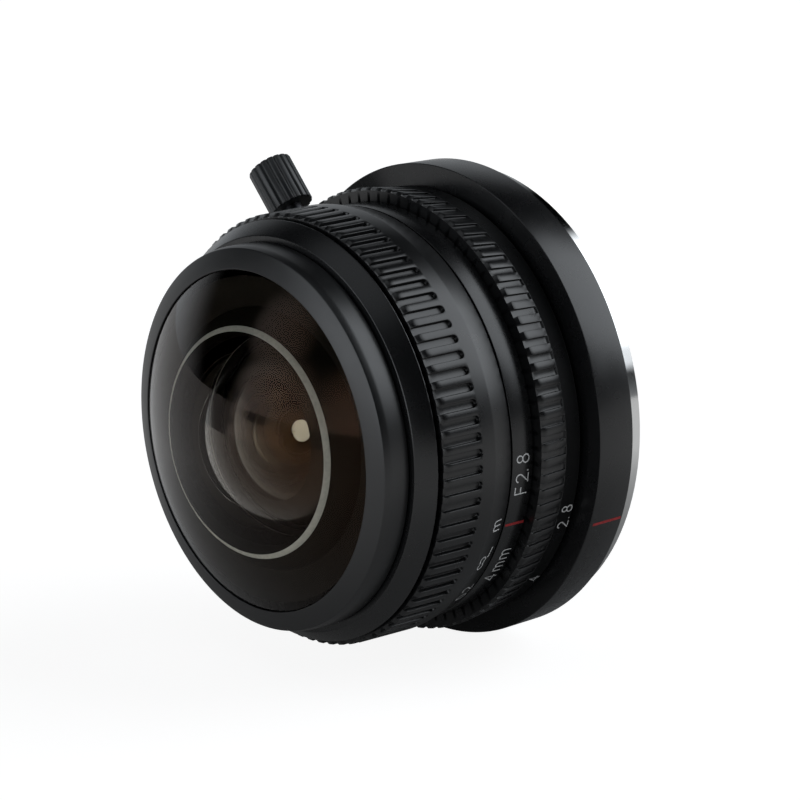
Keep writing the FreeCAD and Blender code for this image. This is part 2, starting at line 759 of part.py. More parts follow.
def make_housing():
    """Black rear flange and the fixed sleeve that carries the rings, in one piece."""
    housing = turned("rear_housing", [
        (housing_bore, housing_rear),
        (housing_rear_radius - mm.edge_break, housing_rear),
        (housing_rear_radius, housing_rear + mm.edge_break),
        (housing_front_radius, mm.housing_front - mm.edge_break),
        (housing_front_radius - mm.edge_break, mm.housing_front),
        (sleeve_radius, mm.housing_front),
        (sleeve_radius, sleeve_step),
        (sleeve_front_radius, sleeve_step),
        (sleeve_front_radius, sleeve_front),
        (sleeve_bore, sleeve_front),
        (sleeve_bore, web_front),
        (web_bore, web_front),
        (web_bore, mm.web_rear),
        (housing_bore, mm.web_rear),
    ])
    hole_radius = mm.screw_radius + mm.seat_gap
    cut_axial_holes(housing, housing_rear + mm.screw_length, mm.screw_length, hole_radius,
                    mount_screw_circle, mm.mount_screw_start, mm.mount_screw_count)
    cut_around(housing, [
        (sleeve_bore - mm.edge_break, pin_slot_rear),
        (sleeve_radius + mm.edge_break, pin_slot_rear),
        (sleeve_radius + mm.edge_break, pin_slot_front),
        (sleeve_bore - mm.edge_break, pin_slot_front),
    ], pin_slot_angle, pin_slot_middle)
    small_hole = mm.small_screw_radius + mm.seat_gap
    web_depth = web_front - mm.web_rear
    cut_axial_holes(housing, web_front, web_depth, small_hole,
                    baffle_screw_circle, mm.key_angle + 90, mm.baffle_screw_count)
    cut_axial_holes(housing, web_front, web_depth, small_hole,
                    key_screw_circle, mm.key_angle, 2)
    head_depth = mm.small_screw_head_height + mm.running_gap
    cut_axial_holes(housing, mm.web_rear + head_depth, head_depth,
                    mm.small_screw_head_radius + mm.running_gap, key_screw_circle, mm.key_angle, 2)
    for angle in (160, 250):
        cut_radial_hole(housing, (index_rear + index_front) / 2, sleeve_radius + mm.cut_margin,
                        sleeve_radius - mm.edge_break, small_hole, angle)
    return keep(housing, "rear_housing")


def make_index_ring():
    """Fixed ring between the two turning rings, which are read against its lines."""
    seat = sleeve_radius + mm.seat_gap
    ring = turned("index_ring", [
        (seat, index_rear),
        (index_radius - mm.edge_break / 2, index_rear),
        (index_radius, index_rear + mm.edge_break / 2),
        (index_radius, index_front - mm.edge_break / 2),
        (index_radius - mm.edge_break / 2, index_front),
        (seat, index_front),
    ])
    for angle in (160, 250):
        cut_radial_hole(ring, (index_rear + index_front) / 2, index_radius + mm.cut_margin,
                        sleeve_radius - mm.cut_margin, mm.small_screw_radius + mm.seat_gap, angle)
    return keep(ring, "index_ring")


def make_index_screws():
    """Two headless screws that hold the index ring on the sleeve."""
    screws = []
    length = index_radius - sleeve_radius - mm.edge_break
    for number, angle in enumerate((160, 250)):
        stem = cylinder(f"index_screw_stem_{number}", mm.small_screw_radius, length,
                        (0, 0, sleeve_radius))
        socket = doc.addObject("Part::Prism", f"index_screw_socket_{number}")
        socket.Polygon = 6
        socket.setExpression("Circumradius", (mm.small_screw_radius * 0.55).text)
        socket.setExpression("Height", mm.recess_depth.text)
        place(socket, (0, 0, sleeve_radius + length - mm.recess_depth))
        screw = cut_from(f"index_screw_{number}", stem, socket)
        stand_out(screw, (index_rear + index_front) / 2, angle)
        screws.append(screw)
    group = doc.addObject("Part::Compound", "index_screws")
    group.Links = screws
    return keep(group, "index_screws")


def make_aperture_ring():
    """Ribbed ring with a plain rear band for its numbers and a notch for the iris pin."""
    bore = sleeve_radius + mm.running_gap
    ring = turned("aperture_ring", [
        (bore, aperture_rear),
        (aperture_tail_radius, aperture_rear),
        (aperture_band_radius, aperture_band_rear),
        (aperture_band_radius, aperture_rib_rear),
        (aperture_rib_rear_radius, aperture_rib_rear),
        (aperture_front_radius, aperture_front - mm.rib_bevel),
        (aperture_front_radius - mm.rib_bevel, aperture_front),
        (bore, aperture_front),
    ])
    notch_half = mm.drive_radius + mm.seat_gap
    notch_angle = notch_half * 2 / sleeve_radius * math.degrees(1)
    cut_around(ring, [
        (bore - mm.edge_break, pin_slot_rear),
        (drive_tip + mm.running_gap * 2, pin_slot_rear),
        (drive_tip + mm.running_gap * 2, aperture_front + mm.edge_break),
        (bore - mm.edge_break, aperture_front + mm.edge_break),
    ], notch_angle, mm.drive_angle)
    cut_radial_hole(ring, lever_station, aperture_front_radius + mm.cut_margin,
                    sleeve_radius + mm.running_gap * 4,
                    mm.lever_thread_radius + mm.seat_gap, mm.lever_angle)
    floor_rise = mm.aperture_groove_front_wall - mm.aperture_groove_wall
    slope = math.degrees(math.atan2(floor_rise.value, mm.aperture_rib_length.value))
    cut_side_groove(ring, aperture_rib_rear, aperture_front + mm.edge_break,
                    aperture_rib_rear_radius + mm.cut_margin, aperture_groove_floor,
                    mm.aperture_groove_width, 0, mm.aperture_rib_count, slope=slope)
    return keep(ring, "aperture_ring")


def make_lever():
    """Knurled knob on a threaded stud, standing on the aperture ring."""
    knob_top = lever_underside + mm.lever_head_length
    bore_top = lever_underside + mm.lever_head_length / 2
    knob = turned_stem("lever_knob", [
        (mm.lever_thread_radius + mm.seat_gap, lever_underside),
        (mm.lever_radius - mm.edge_break, lever_underside),
        (mm.lever_radius, lever_underside + mm.edge_break),
        (mm.lever_radius, knob_top - mm.lever_crown),
        (mm.lever_radius - mm.lever_crown, knob_top, "dome"),
        (0, knob_top + mm.edge_break / 2),
        (0, bore_top),
        (mm.lever_thread_radius + mm.seat_gap, bore_top),
    ])
    flutes = hole_sketch(
        knob, "lever_flute", FreeCAD.Placement(FreeCAD.Vector(0, 0, (knob_top + mm.cut_margin).value),
                                               FreeCAD.Rotation()),
        mm.lever_radius + mm.lever_flute_radius / 2, as_size(0), mm.lever_flute_radius)
    before = knob.Shape.Volume
    cut = knob.newObject("PartDesign::Pocket", "lever_flute_pocket")
    cut.Profile = flutes
    cut.setExpression("Length", (mm.lever_head_length + mm.cut_margin * 2).text)
    doc.recompute()
    if knob.Shape.Volume >= before:
        raise ValueError("the knob's flute cut nothing")
    pattern = knob.newObject("PartDesign::PolarPattern", "lever_flutes")
    pattern.Originals = [cut]
    pattern.Axis = (origin_part(knob, "Z_Axis"), [""])
    pattern.Angle = 360
    pattern.setExpression("Occurrences", mm.lever_flute_count.text)
    knob.Tip = pattern
    stand_out(knob, lever_station, mm.lever_angle)
    keep(knob, "lever_knob")

    foot = aperture_groove_floor - mm.lever_thread_depth + mm.edge_break
    stud = turned_stem("lever_stud", [
        (0, foot),
        (mm.lever_thread_radius, foot),
        (mm.lever_thread_radius, aperture_front_radius),
        (mm.lever_neck_radius, aperture_front_radius),
        (mm.lever_neck_radius, lever_underside),
        (mm.lever_thread_radius, lever_underside),
        (mm.lever_thread_radius, bore_top - mm.edge_break),
        (0, bore_top - mm.edge_break),
    ])
    stand_out(stud, lever_station, mm.lever_angle)
    keep(stud, "lever_stud")


def make_focus_ring():
    """Ribbed focusing ring, tapered behind the crease and stepped inside for its helicoid."""
    ring = turned("focus_ring", [
        (focus_bore, focus_rear),
        (focus_tail_radius, focus_rear),
        (focus_radius, focus_crease),
        (focus_radius, focus_front - mm.rib_bevel),
        (focus_radius - mm.rib_bevel, focus_front),
        (focus_front_bore, focus_front),
        (focus_front_bore, focus_seat),
        (focus_mid_bore, focus_seat),
        (focus_mid_bore, focus_shoulder_front),
        (focus_bore, focus_shoulder_front),
    ])
    cut_side_groove(ring, focus_groove_rear, focus_front + mm.edge_break,
                    focus_radius + mm.cut_margin, focus_groove_floor, mm.focus_groove_width, 0,
                    mm.focus_rib_count, rounded=True)
    return keep(ring, "focus_ring")


def dome_station(rim_radius, rim_station, apex, radius):
    """Station of a domed glass surface at a radius, from its rim and its apex."""
    sag = apex.value - rim_station.value
    ball = (rim_radius.value ** 2 + sag ** 2) / (2 * sag)
    drop = ball - math.copysign(math.sqrt(ball ** 2 - radius.value ** 2), ball)
    return as_size(apex.value - drop)


def plain_ring(label, inner, outer, rear, front):
    """A ring with square edges."""
    return keep(turned(label, [(inner, rear), (outer, rear), (outer, front), (inner, front)]),
                label)


def notched_ring(label, inner, outer, rear, front, at_front=True, seat=None):
    """A threaded ring with two spanner notches; its other face can slope to a domed glass."""
    inner, outer, rear, front = [as_size(v) for v in (inner, outer, rear, front)]
    rear_seat, front_seat = rear, front
    if seat is not None and at_front:
        rear_seat = seat
    elif seat is not None:
        front_seat = seat
    ring = turned(label, [
        (inner, rear_seat), (outer, rear), (outer, front), (inner, front_seat)])
    depth = mm.recess_depth
    low, high = (front - depth, front + depth) if at_front else (rear - depth, rear + depth)
    middle = (inner + outer) / 2
    notch_angle = mm.notch_width / inner * math.degrees(1)
    cut_around(ring, [(inner - depth, low), (middle, low), (middle, high),
                      (inner - depth, high)], notch_angle, 45, 2)
    return keep(ring, label)


def make_focus_parts():
    """Ring that keeps the focusing ring on its sleeve, then the helicoid and its clamp."""
    notched_ring("focus_retainer", sleeve_front_radius + mm.seat_gap,
                 focus_retainer_radius, focus_shoulder_front + mm.running_gap,
                 sleeve_front)
    flange_radius = focus_front_bore - mm.thread_gap
    keep(turned("helicoid_ring", [
        (helicoid_bore, helicoid_rear),
        (helicoid_radius, helicoid_rear),
        (helicoid_radius, focus_seat),
        (flange_radius, focus_seat),
        (flange_radius, helicoid_front),
        (helicoid_bore, helicoid_front),
    ]), "helicoid_ring")
    notched_ring("focus_clamp_ring", clamp_bore, flange_radius, helicoid_front, clamp_front)


def make_main_barrel():
    """Lens barrel: stepped seats for the glass in front, the iris chamber behind."""
    front_seat = glass_1_rear - mm.thread_gap
    ledge_2 = glass_2_rear - mm.seat_gap
    ledge_3 = glass_3_rear - mm.seat_gap
    bore_2 = mm.glass_2_radius + mm.thread_gap
    bore_3 = mm.glass_3_radius + mm.thread_gap
    bore_4 = mm.glass_4_radius + mm.thread_gap
    thread_2 = mm.glass_2_radius + mm.screw_radius
    relief_rear = barrel_step + mm.relief_floor
    seat_4 = glass_4_rim + mm.seat_gap
    stop_4 = dome_station(mm.glass_4_radius, glass_4_rim, glass_4_apex,
                          mm.light_stop_radius)
    barrel = turned("main_barrel", [
        (mm.barrel_rear_radius, barrel_rear),
        (mm.barrel_rear_radius, barrel_step),
        (mm.barrel_radius, barrel_step),
        (mm.barrel_radius, barrel_front),
        (barrel_front_bore, barrel_front),
        (barrel_front_bore, relief_rear),
        (thread_2 + mm.relief_wall, relief_rear),
        (thread_2 + mm.relief_wall, front_seat),
        (thread_2, front_seat),
        (thread_2, glass_2_rim + mm.seat_gap),
        (bore_2, glass_2_rim + mm.seat_gap),
        (bore_2, ledge_2),
        (bore_3, ledge_2),
        (bore_3, ledge_3),
        (mm.light_stop_radius, ledge_3),
        (mm.light_stop_radius, stop_4 + mm.seat_gap),
        (bore_4, seat_4),
        (bore_4, iris_front),
        (mm.iris_bore, iris_front),
        (mm.iris_bore, barrel_rear),
    ])
    cut_around(barrel, [
        (mm.iris_bore - mm.edge_break, pin_slot_rear),
        (mm.barrel_rear_radius + mm.edge_break, pin_slot_rear),
        (mm.barrel_rear_radius + mm.edge_break, pin_slot_front - mm.focus_travel),
        (mm.iris_bore - mm.edge_break, pin_slot_front - mm.focus_travel),
    ], pin_slot_angle, pin_slot_middle)
    cut_side_groove(barrel, barrel_rear - mm.edge_break, barrel_step,
                    mm.barrel_rear_radius + mm.cut_margin, key_floor, mm.key_width + mm.running_gap,
                    mm.key_angle, 2)
    return keep(barrel, "main_barrel")


def make_front_barrel():
    """Front barrel with the conical band, screwed onto the lens barrel."""
    bore = mm.barrel_radius + mm.thread_gap
    thread = front_thread_radius + mm.thread_gap
    seat_radius = glass_1_radius - mm.thread_gap
    return keep(turned("front_barrel", [
        (bore, band_rear),
        (band_radius - mm.edge_break, band_rear),
        (band_radius, band_rear + mm.edge_break),
        (band_front_radius, band_front - mm.edge_break / 2),
        (band_front_radius - mm.edge_break / 2, band_front),
        (thread, band_front),
        (thread, front_thread_rear),
        (seat_radius, front_thread_rear),
        (seat_radius, glass_seat),
        (glass_1_step_radius + mm.edge_break / 2, glass_seat),
        (glass_1_step_radius + mm.edge_break / 2, barrel_front + mm.thread_gap),
        (bore, barrel_front + mm.thread_gap),
    ]), "front_barrel")


def make_front_ring():
    """Front retaining ring: thin lip over the glass, sloping sanded face and bevel."""
    lip_seat = dome_station(glass_1_radius, glass_1_rim, glass_1_apex, lip_radius)
    lip_gap = mm.thread_gap
    return keep(turned("front_retaining_ring", [
        (front_thread_radius, front_thread_rear + mm.edge_break),
        (front_thread_radius, ring_neck),
        (ring_radius - mm.edge_break / 2, ring_neck),
        (ring_radius, ring_neck + mm.edge_break / 2),
        (ring_radius, bevel_rear),
        (face_radius + mm.edge_break / 4, face_outer - mm.edge_break / 2),
        (face_radius - mm.edge_break / 4, face_outer),
        (lip_radius + mm.edge_break / 2, lip_front),
        (lip_radius, lip_front - mm.edge_break / 4),
        (lip_radius, lip_seat + lip_gap),
        (glass_1_radius + lip_gap, glass_1_rim + lip_gap),
        (glass_1_radius + lip_gap, front_thread_rear + mm.edge_break),
    ]), "front_retaining_ring")


def make_glass():
    """The glass, from the large front dome to the small rear one, with spacers and retainers."""
    keep(turned("glass_1_front_dome", [
        (0, glass_1_hollow_apex, "dome"),
        (mm.glass_1_hollow_radius, glass_1_rear + mm.glass_1_hollow_rim),
        (mm.glass_1_mouth_radius, glass_1_rear),
        (glass_1_step_radius, glass_1_rear),
        (glass_1_step_radius, glass_seat),
        (glass_1_radius, glass_seat),
        (glass_1_radius, glass_1_rim, "dome"),
        (0, glass_1_apex),
    ]), "glass_1_front_dome")
    keep(turned("glass_2_meniscus", [
        (0, glass_2_hollow_apex, "dome"),
        (mm.glass_2_hollow_radius, glass_2_rear),
        (mm.glass_2_radius, glass_2_rear),
        (mm.glass_2_radius, glass_2_rim, "dome"),
        (0, glass_2_apex),
    ]), "glass_2_meniscus")
    bore = mm.glass_2_radius - mm.edge_break * 2
    seat = dome_station(mm.glass_2_radius, glass_2_rim, glass_2_apex, bore)
    notched_ring("glass_2_retainer", bore, mm.glass_2_radius + mm.screw_radius - mm.thread_gap,
                 glass_2_rim + mm.seat_gap * 2, glass_1_rear - mm.thread_gap * 3,
                 seat=seat + mm.seat_gap)
    keep(turned("glass_3_meniscus", [
        (0, glass_3_hollow_apex, "dome"),
        (mm.glass_3_hollow_radius, glass_3_rear),
        (mm.glass_3_radius, glass_3_rear),
        (mm.glass_3_radius, glass_3_rim, "dome"),
        (0, glass_3_apex),
    ]), "glass_3_meniscus")
    spacer_bore = mm.glass_3_radius - mm.edge_break * 4
    spacer_rear = dome_station(mm.glass_3_radius, glass_3_rim, glass_3_apex, spacer_bore)
    plain_ring("glass_spacer", spacer_bore, mm.glass_3_radius, spacer_rear, glass_2_rear)
    keep(turned("glass_4_positive", [
        (0, glass_4_rear_apex, "dome"),
        (mm.glass_4_radius, glass_4_rear_rim),
        (mm.glass_4_radius, glass_4_rim, "dome"),
        (0, glass_4_apex),
    ]), "glass_4_positive")
    seat = dome_station(mm.glass_4_radius, glass_4_rear_rim, glass_4_rear_apex,
                        mm.light_stop_radius)
    notched_ring("glass_4_retainer", mm.light_stop_radius, mm.glass_4_radius,
                 glass_4_rear_rim - mm.glass_4_retainer_length,
                 glass_4_rear_rim - mm.seat_gap, at_front=False, seat=seat - mm.seat_gap)
    keep(turned("glass_5_doublet_front", [
        (0, glass_5_joint_apex, "dome"),
        (mm.glass_5_radius, glass_5_joint_rim),
        (mm.glass_5_radius, glass_5_rim, "dome"),
        (0, glass_5_apex),
    ]), "glass_5_doublet_front")
    keep(turned("glass_6_doublet_rear", [
        (0, glass_6_rear),
        (mm.glass_5_radius, glass_6_rear),
        (mm.glass_5_radius, glass_5_joint_rim, "dome"),
        (0, glass_5_joint_apex),
    ]), "glass_6_doublet_rear")
    notched_ring("doublet_retainer", mm.glass_5_radius - mm.edge_break * 4, mm.glass_5_radius,
                 glass_5_rim + mm.edge_break, glass_5_apex)
    keep(turned("glass_7_rear", [
        (0, glass_7_rear_apex, "dome"),
        (mm.glass_7_radius, glass_7_rear_rim),
        (mm.glass_7_radius, glass_7_rim, "dome"),
        (0, glass_7_apex),
    ]), "glass_7_rear")
    bore = mm.glass_7_radius - mm.edge_break * 4
    seat = dome_station(mm.glass_7_radius, glass_7_rear_rim, glass_7_rear_apex, bore)
    notched_ring("rear_glass_retainer", bore, mm.glass_7_radius, cell_rear + mm.edge_break,
                 glass_7_rear_rim - mm.seat_gap, at_front=False, seat=seat - mm.seat_gap)


def make_rear_cell():
    """Cell that holds the rear glass and closes the iris chamber."""
    bore_5 = mm.glass_5_radius + mm.seat_gap
    bore_7 = mm.glass_7_radius + mm.seat_gap
    stop = mm.glass_5_radius - mm.edge_break * 3
    stop_7 = dome_station(mm.glass_7_radius, glass_7_rim, glass_7_apex, stop)
    return keep(turned("rear_cell", [
        (bore_5, iris_plate_rear - mm.seat_gap),
        (mm.cell_radius, iris_plate_rear - mm.seat_gap),
        (mm.cell_radius, cell_step),
        (mm.cell_rear_radius, cell_step),
        (mm.cell_rear_radius, cell_rear + mm.edge_break),
        (mm.cell_rear_radius - mm.edge_break, cell_rear),
        (bore_7, cell_rear),
        (bore_7, glass_7_rim + mm.seat_gap),
        (stop, stop_7 + mm.seat_gap),
        (stop, glass_6_rear),
        (bore_5, glass_6_rear),
    ]), "rear_cell")


def tail_pin(turn):
    """Place of a blade's drive pin at a turn of the iris ring, seen by the ring itself."""
    swing = math.radians(turn * mm.blade_swing.value / mm.aperture_turn.value)
    tail, pivot = mm.blade_tail.value, mm.blade_pivot_circle.value
    point = FreeCAD.Vector(pivot + tail * math.sin(swing), -tail * math.cos(swing), 0)
    return FreeCAD.Rotation(Z_AXIS, -turn).multVec(point)


def cam_slot(depth):
    """Curved slot along the drive pin's path in the iris ring, a little wider than the pin."""
    half = mm.blade_drive_radius.value + mm.seat_gap.value
    steps = 8
    turns = [mm.aperture_turn.value * step / steps for step in range(steps + 1)]
    small = mm.aperture_turn.value / 1000
    sides = ([], [])
    for turn in turns:
        along = tail_pin(turn + small) - tail_pin(turn - small)
        along.normalize()
        across = FreeCAD.Vector(-along.y, along.x, 0) * half
        sides[0].append(tail_pin(turn) + across)
        sides[1].append(tail_pin(turn) - across)
    first = tail_pin(0) - tail_pin(small)
    last = tail_pin(turns[-1]) - tail_pin(turns[-1] - small)
    first.normalize()
    last.normalize()
    edges = []
    for side in sides:
        curve = Part.BSplineCurve()
        curve.interpolate(side)
        edges.append(curve.toShape())
    edges.append(Part.Arc(sides[0][0], tail_pin(0) + first * half, sides[1][0]).toShape())
    edges.append(Part.Arc(sides[0][-1], tail_pin(turns[-1]) + last * half,
                          sides[1][-1]).toShape())
    face = Part.Face(Part.Wire(Part.__sortEdges__(edges)))
    return face.extrude(FreeCAD.Vector(0, 0, depth))


def make_iris():
    """Iris: base plate, spacer, overlapping blades, slotted ring, cover and the drive pin."""
    plate_radius = mm.iris_bore - mm.seat_gap
    pivot_hole = mm.blade_pin_radius + mm.seat_gap
    blade_step = as_size(360) / mm.blade_count
    plate = turned("iris_base_plate", [
        (mm.blade_inner_radius + mm.edge_break, iris_plate_rear),
        (plate_radius, iris_plate_rear),
        (plate_radius, stack_front),
        (mm.blade_inner_radius + mm.edge_break, stack_front),
    ])
    cut_axial_holes(plate, stack_front, mm.iris_plate_thickness, pivot_hole,
                    mm.blade_pivot_circle, 0, mm.blade_count)
    keep(plate, "iris_base_plate")
    plain_ring("iris_spacer", mm.iris_bore - mm.edge_break * 3, plate_radius, stack_front,
               iris_ring_rear - mm.thread_gap)
    cover_rear = iris_front - mm.iris_cover_thickness
    plain_ring("iris_cover", mm.iris_ring_bore, plate_radius, cover_rear, iris_front)

    ring_depth = iris_ring_front - iris_ring_rear
    disc = Part.makeCylinder(mm.iris_ring_radius.value, ring_depth.value)
    disc = disc.cut(Part.makeCylinder(mm.iris_ring_bore.value, ring_depth.value))
    slot = cam_slot(ring_depth.value)
    for number in range(int(mm.blade_count.value)):
        turned_slot = slot.copy()
        turned_slot.rotate(ORIGIN, Z_AXIS, blade_step.value * number)
        disc = disc.cut(turned_slot)
    pin_seat = mm.drive_radius + mm.seat_gap
    pin_foot = mm.iris_ring_radius - mm.drive_radius * 1.6
    hole = Part.makeCylinder(
        pin_seat.value, mm.cut_margin.value, FreeCAD.Vector(pin_foot.value, 0, ring_depth.value / 2), X_AXIS)
    hole.rotate(ORIGIN, Z_AXIS, mm.drive_angle.value)
    ring = doc.addObject("Part::Feature", "iris_ring")
    ring.Shape = disc.cut(hole)
    ring.Placement = FreeCAD.Placement(
        FreeCAD.Vector(0, -iris_ring_rear.value, 0), TO_FRONT)
    keep(ring, "iris_ring")

    tip = mm.drive_radius / 3
    pin = turned_stem("iris_drive_pin", [
        (0, pin_foot + mm.seat_gap),
        (mm.drive_radius, pin_foot + mm.seat_gap),
        (mm.drive_radius, drive_tip - tip),
        (mm.drive_radius - tip, drive_tip),
        (0, drive_tip),
    ])
    stand_out(pin, drive_station, mm.drive_angle)
    keep(pin, "iris_drive_pin")

    for number in range(int(mm.blade_count.value)):
        make_blade(number, blade_step.value * number)


def make_blade(number, angle):
    """One iris blade on its own level: curved leaf, tail, pivot pin behind, drive pin in front."""
    label = f"iris_blade_{number + 1}"
    thick = mm.blade_thickness
    rear = stack_front + mm.seat_gap + mm.blade_level * number
    leaf = cylinder(label + "_leaf", mm.blade_outer_radius, thick)
    leaf.setExpression("Angle", mm.blade_span.text)
    opening = cylinder(label + "_opening", mm.blade_inner_radius, thick)
    leaf = cut_from(label + "_curve", leaf, opening)
    half = mm.blade_arm_width / 2
    pivot = mm.blade_pivot_circle
    pieces = [
        leaf,
        cylinder(label + "_boss", half * 1.3, thick, (pivot, 0, 0)),
        box(label + "_root", (pivot - mm.blade_outer_radius + mm.blade_arm_width, half * 1.3, thick),
            (mm.blade_outer_radius - mm.blade_arm_width, 0, 0)),
        box(label + "_arm", (half * 2, mm.blade_tail, thick), (pivot - half, -mm.blade_tail, 0)),
        cylinder(label + "_tail", half, thick, (pivot, -mm.blade_tail, 0)),
    ]
    pivot_depth = rear - iris_plate_rear - mm.seat_gap
    pieces.append(cylinder(label + "_pivot", mm.blade_pin_radius, pivot_depth + thick / 2,
                           (pivot, 0, -pivot_depth)))
    drive_height = iris_ring_front - mm.thread_gap - rear
    pieces.append(cylinder(label + "_drive", mm.blade_drive_radius, drive_height - thick / 2,
                           (pivot, -mm.blade_tail, thick / 2)))
    blade = fused(label, pieces)
    spin = FreeCAD.Rotation(Y_AXIS, -angle)
    blade.Placement = FreeCAD.Placement(FreeCAD.Vector(0, -rear.value, 0), spin * TO_FRONT)
    blade.setExpression("Placement.Base.y", (-rear).text)
    keep(blade, label)


def make_guide_keys():
    """Two keys on the housing's web that stop the lens barrel from turning."""
    keys = []
    length = key_front - web_front
    inner = key_floor + mm.running_gap
    height = sleeve_bore - mm.edge_break - inner
    for number in range(2):
        key = box(f"guide_key_{number}", (mm.key_width, length, height),
                  (-mm.key_width / 2, -key_front, inner))
        turn = mm.key_angle.value + 180 * number
        small = mm.small_screw_radius + mm.seat_gap
        hole = cylinder(f"guide_key_hole_{number}", small, length,
                        (0, -web_front, key_screw_circle))
        hole.Placement.Rotation = TO_FRONT
        piece = cut_from(f"guide_key_cut_{number}", key, hole)
        piece.Placement = FreeCAD.Placement(ORIGIN, FreeCAD.Rotation(Y_AXIS, 90 - turn))
        keys.append(piece)
    group = doc.addObject("Part::Compound", "guide_keys")
    group.Links = keys
    keep(group, "guide_keys")
    head_rear = mm.web_rear + mm.running_gap / 2
    sizes = (mm.small_screw_radius, mm.small_screw_head_radius, mm.small_screw_head_height,
             key_front - head_rear - mm.screw_head_height * 2)
    screw_circle("key_screws", sizes, head_rear, key_screw_circle, mm.key_angle, 2)


def make_rear_baffle():
    """Black light baffle inside the bayonet, on a skirt that stands on the housing's web."""
    baffle = turned("rear_baffle", [
        (mm.baffle_bore, mm.baffle_rear + mm.edge_break),
        (mm.baffle_bore + mm.edge_break, mm.baffle_rear),
        (baffle_radius, mm.baffle_rear),
        (baffle_radius, mm.web_rear),
        (baffle_radius - mm.baffle_wall, mm.web_rear),
        (baffle_radius - mm.baffle_wall, baffle_front),
        (mm.baffle_bore, baffle_front),
    ])
    head_depth = mm.small_screw_head_height + mm.thread_gap
    angle = mm.key_angle + 90
    cut_axial_holes(baffle, mm.web_rear, mm.web_rear - mm.baffle_rear,
                    mm.small_screw_radius + mm.seat_gap, baffle_screw_circle, angle,
                    mm.baffle_screw_count)
    cut_axial_holes(baffle, mm.baffle_rear + head_depth, head_depth,
                    mm.small_screw_head_radius + mm.thread_gap, baffle_screw_circle, angle,
                    mm.baffle_screw_count)
    keep(baffle, "rear_baffle")
    head_rear = mm.baffle_rear + mm.seat_gap
    length = web_front - head_rear - mm.small_screw_head_height - mm.running_gap
    sizes = (mm.small_screw_radius, mm.small_screw_head_radius, mm.small_screw_head_height,
             length)
    screw_circle("baffle_screws", sizes, head_rear, baffle_screw_circle, angle,
                 mm.baffle_screw_count)


def make_mount_screws():
    """Screws that hold the bayonet ring and the shim on the housing."""
    sizes = (mm.screw_radius, mm.screw_head_radius, mm.screw_head_height,
             mm.screw_length + mm.screw_head_height - mm.running_gap)
    screw_circle("mount_screws", sizes, mm.running_gap, mount_screw_circle,
                 mm.mount_screw_start, mm.mount_screw_count)


make_mount_ring()
make_mount_screws()
make_shim()
make_housing()
make_index_ring()
make_index_screws()
make_aperture_ring()
make_lever()
make_focus_ring()
make_focus_parts()
make_main_barrel()
make_front_barrel()
make_front_ring()
make_glass()
make_rear_cell()
make_iris()
make_guide_keys()
make_rear_baffle()
doc.recompute()

for item in doc.Objects:
    if "Invalid" in item.State or "Error" in item.State:
        raise ValueError(f"{item.Label} failed: {item.State}")
for node in nodes:
    if node.Shape.isNull() or not node.Shape.isValid():
        raise ValueError(f"{node.Label} has no valid shape")

os.makedirs("parts", exist_ok=True)
for node in nodes:
    node.Shape.exportStep(f"parts/{node.Label}.step")
    box_size = node.Shape.BoundBox
    print(f"{node.Label}: {len(node.Shape.Solids)} solid, {node.Shape.Volume:.2f} mm3, "
          f"{box_size.XLength:.1f} x {box_size.YLength:.1f} x {box_size.ZLength:.1f} mm")
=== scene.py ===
"""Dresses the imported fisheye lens: turned rings with fine edges, ribs, marks, glass and light.

Lengths are in millimetres, apart from the node trees and the floor, which are in metres.
A station is the distance in front of the mount's seat, along the optical axis.
"""

import math

import bmesh
import bpy
from mathutils import Matrix, Vector


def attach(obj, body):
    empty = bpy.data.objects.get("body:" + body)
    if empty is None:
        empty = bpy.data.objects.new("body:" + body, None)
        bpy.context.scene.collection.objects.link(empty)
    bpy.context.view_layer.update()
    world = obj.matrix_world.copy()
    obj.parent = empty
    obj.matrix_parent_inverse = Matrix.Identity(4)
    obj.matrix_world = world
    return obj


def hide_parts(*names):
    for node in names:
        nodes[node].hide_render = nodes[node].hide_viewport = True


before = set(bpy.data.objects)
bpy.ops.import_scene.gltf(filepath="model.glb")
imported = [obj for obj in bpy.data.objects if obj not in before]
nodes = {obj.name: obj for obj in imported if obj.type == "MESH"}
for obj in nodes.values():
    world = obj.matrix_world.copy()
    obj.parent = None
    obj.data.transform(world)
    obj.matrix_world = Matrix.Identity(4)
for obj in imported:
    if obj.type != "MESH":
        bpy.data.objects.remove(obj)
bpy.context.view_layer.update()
MM = 0.001
TINY = 1e-6


# Materials

def new_material(name):
    """A node material with its tree and its principled shader."""
    mat = bpy.data.materials.new(name)
    mat.use_nodes = True
    return mat, mat.node_tree, mat.node_tree.nodes["Principled BSDF"]


def noise(tree, scale, detail, stretch=None):
    """Noise over the object, drawn out along the directions with a small stretch value."""
    out = tree.nodes.new("ShaderNodeTexCoord").outputs["Object"]
    if stretch:
        mapping = tree.nodes.new("ShaderNodeMapping")
        mapping.inputs["Scale"].default_value = stretch
        tree.links.new(out, mapping.inputs["Vector"])
        out = mapping.outputs["Vector"]
    texture = tree.nodes.new("ShaderNodeTexNoise")
    texture.inputs["Scale"].default_value = scale
    texture.inputs["Detail"].default_value = detail
    tree.links.new(out, texture.inputs["Vector"])
    return texture.outputs["Fac"]


def mottle(tree, shader, scale, detail, low, high):
    """Base colour that wanders over the surface between two (place, colour) stops."""
    node = tree.nodes.new("ShaderNodeValToRGB")
    for element, (place, colour) in zip(node.color_ramp.elements, (low, high)):
        element.position = place
        element.color = (*colour, 1)
    tree.links.new(noise(tree, scale, detail), node.inputs["Fac"])
    tree.links.new(node.outputs["Color"], shader.inputs["Base Color"])


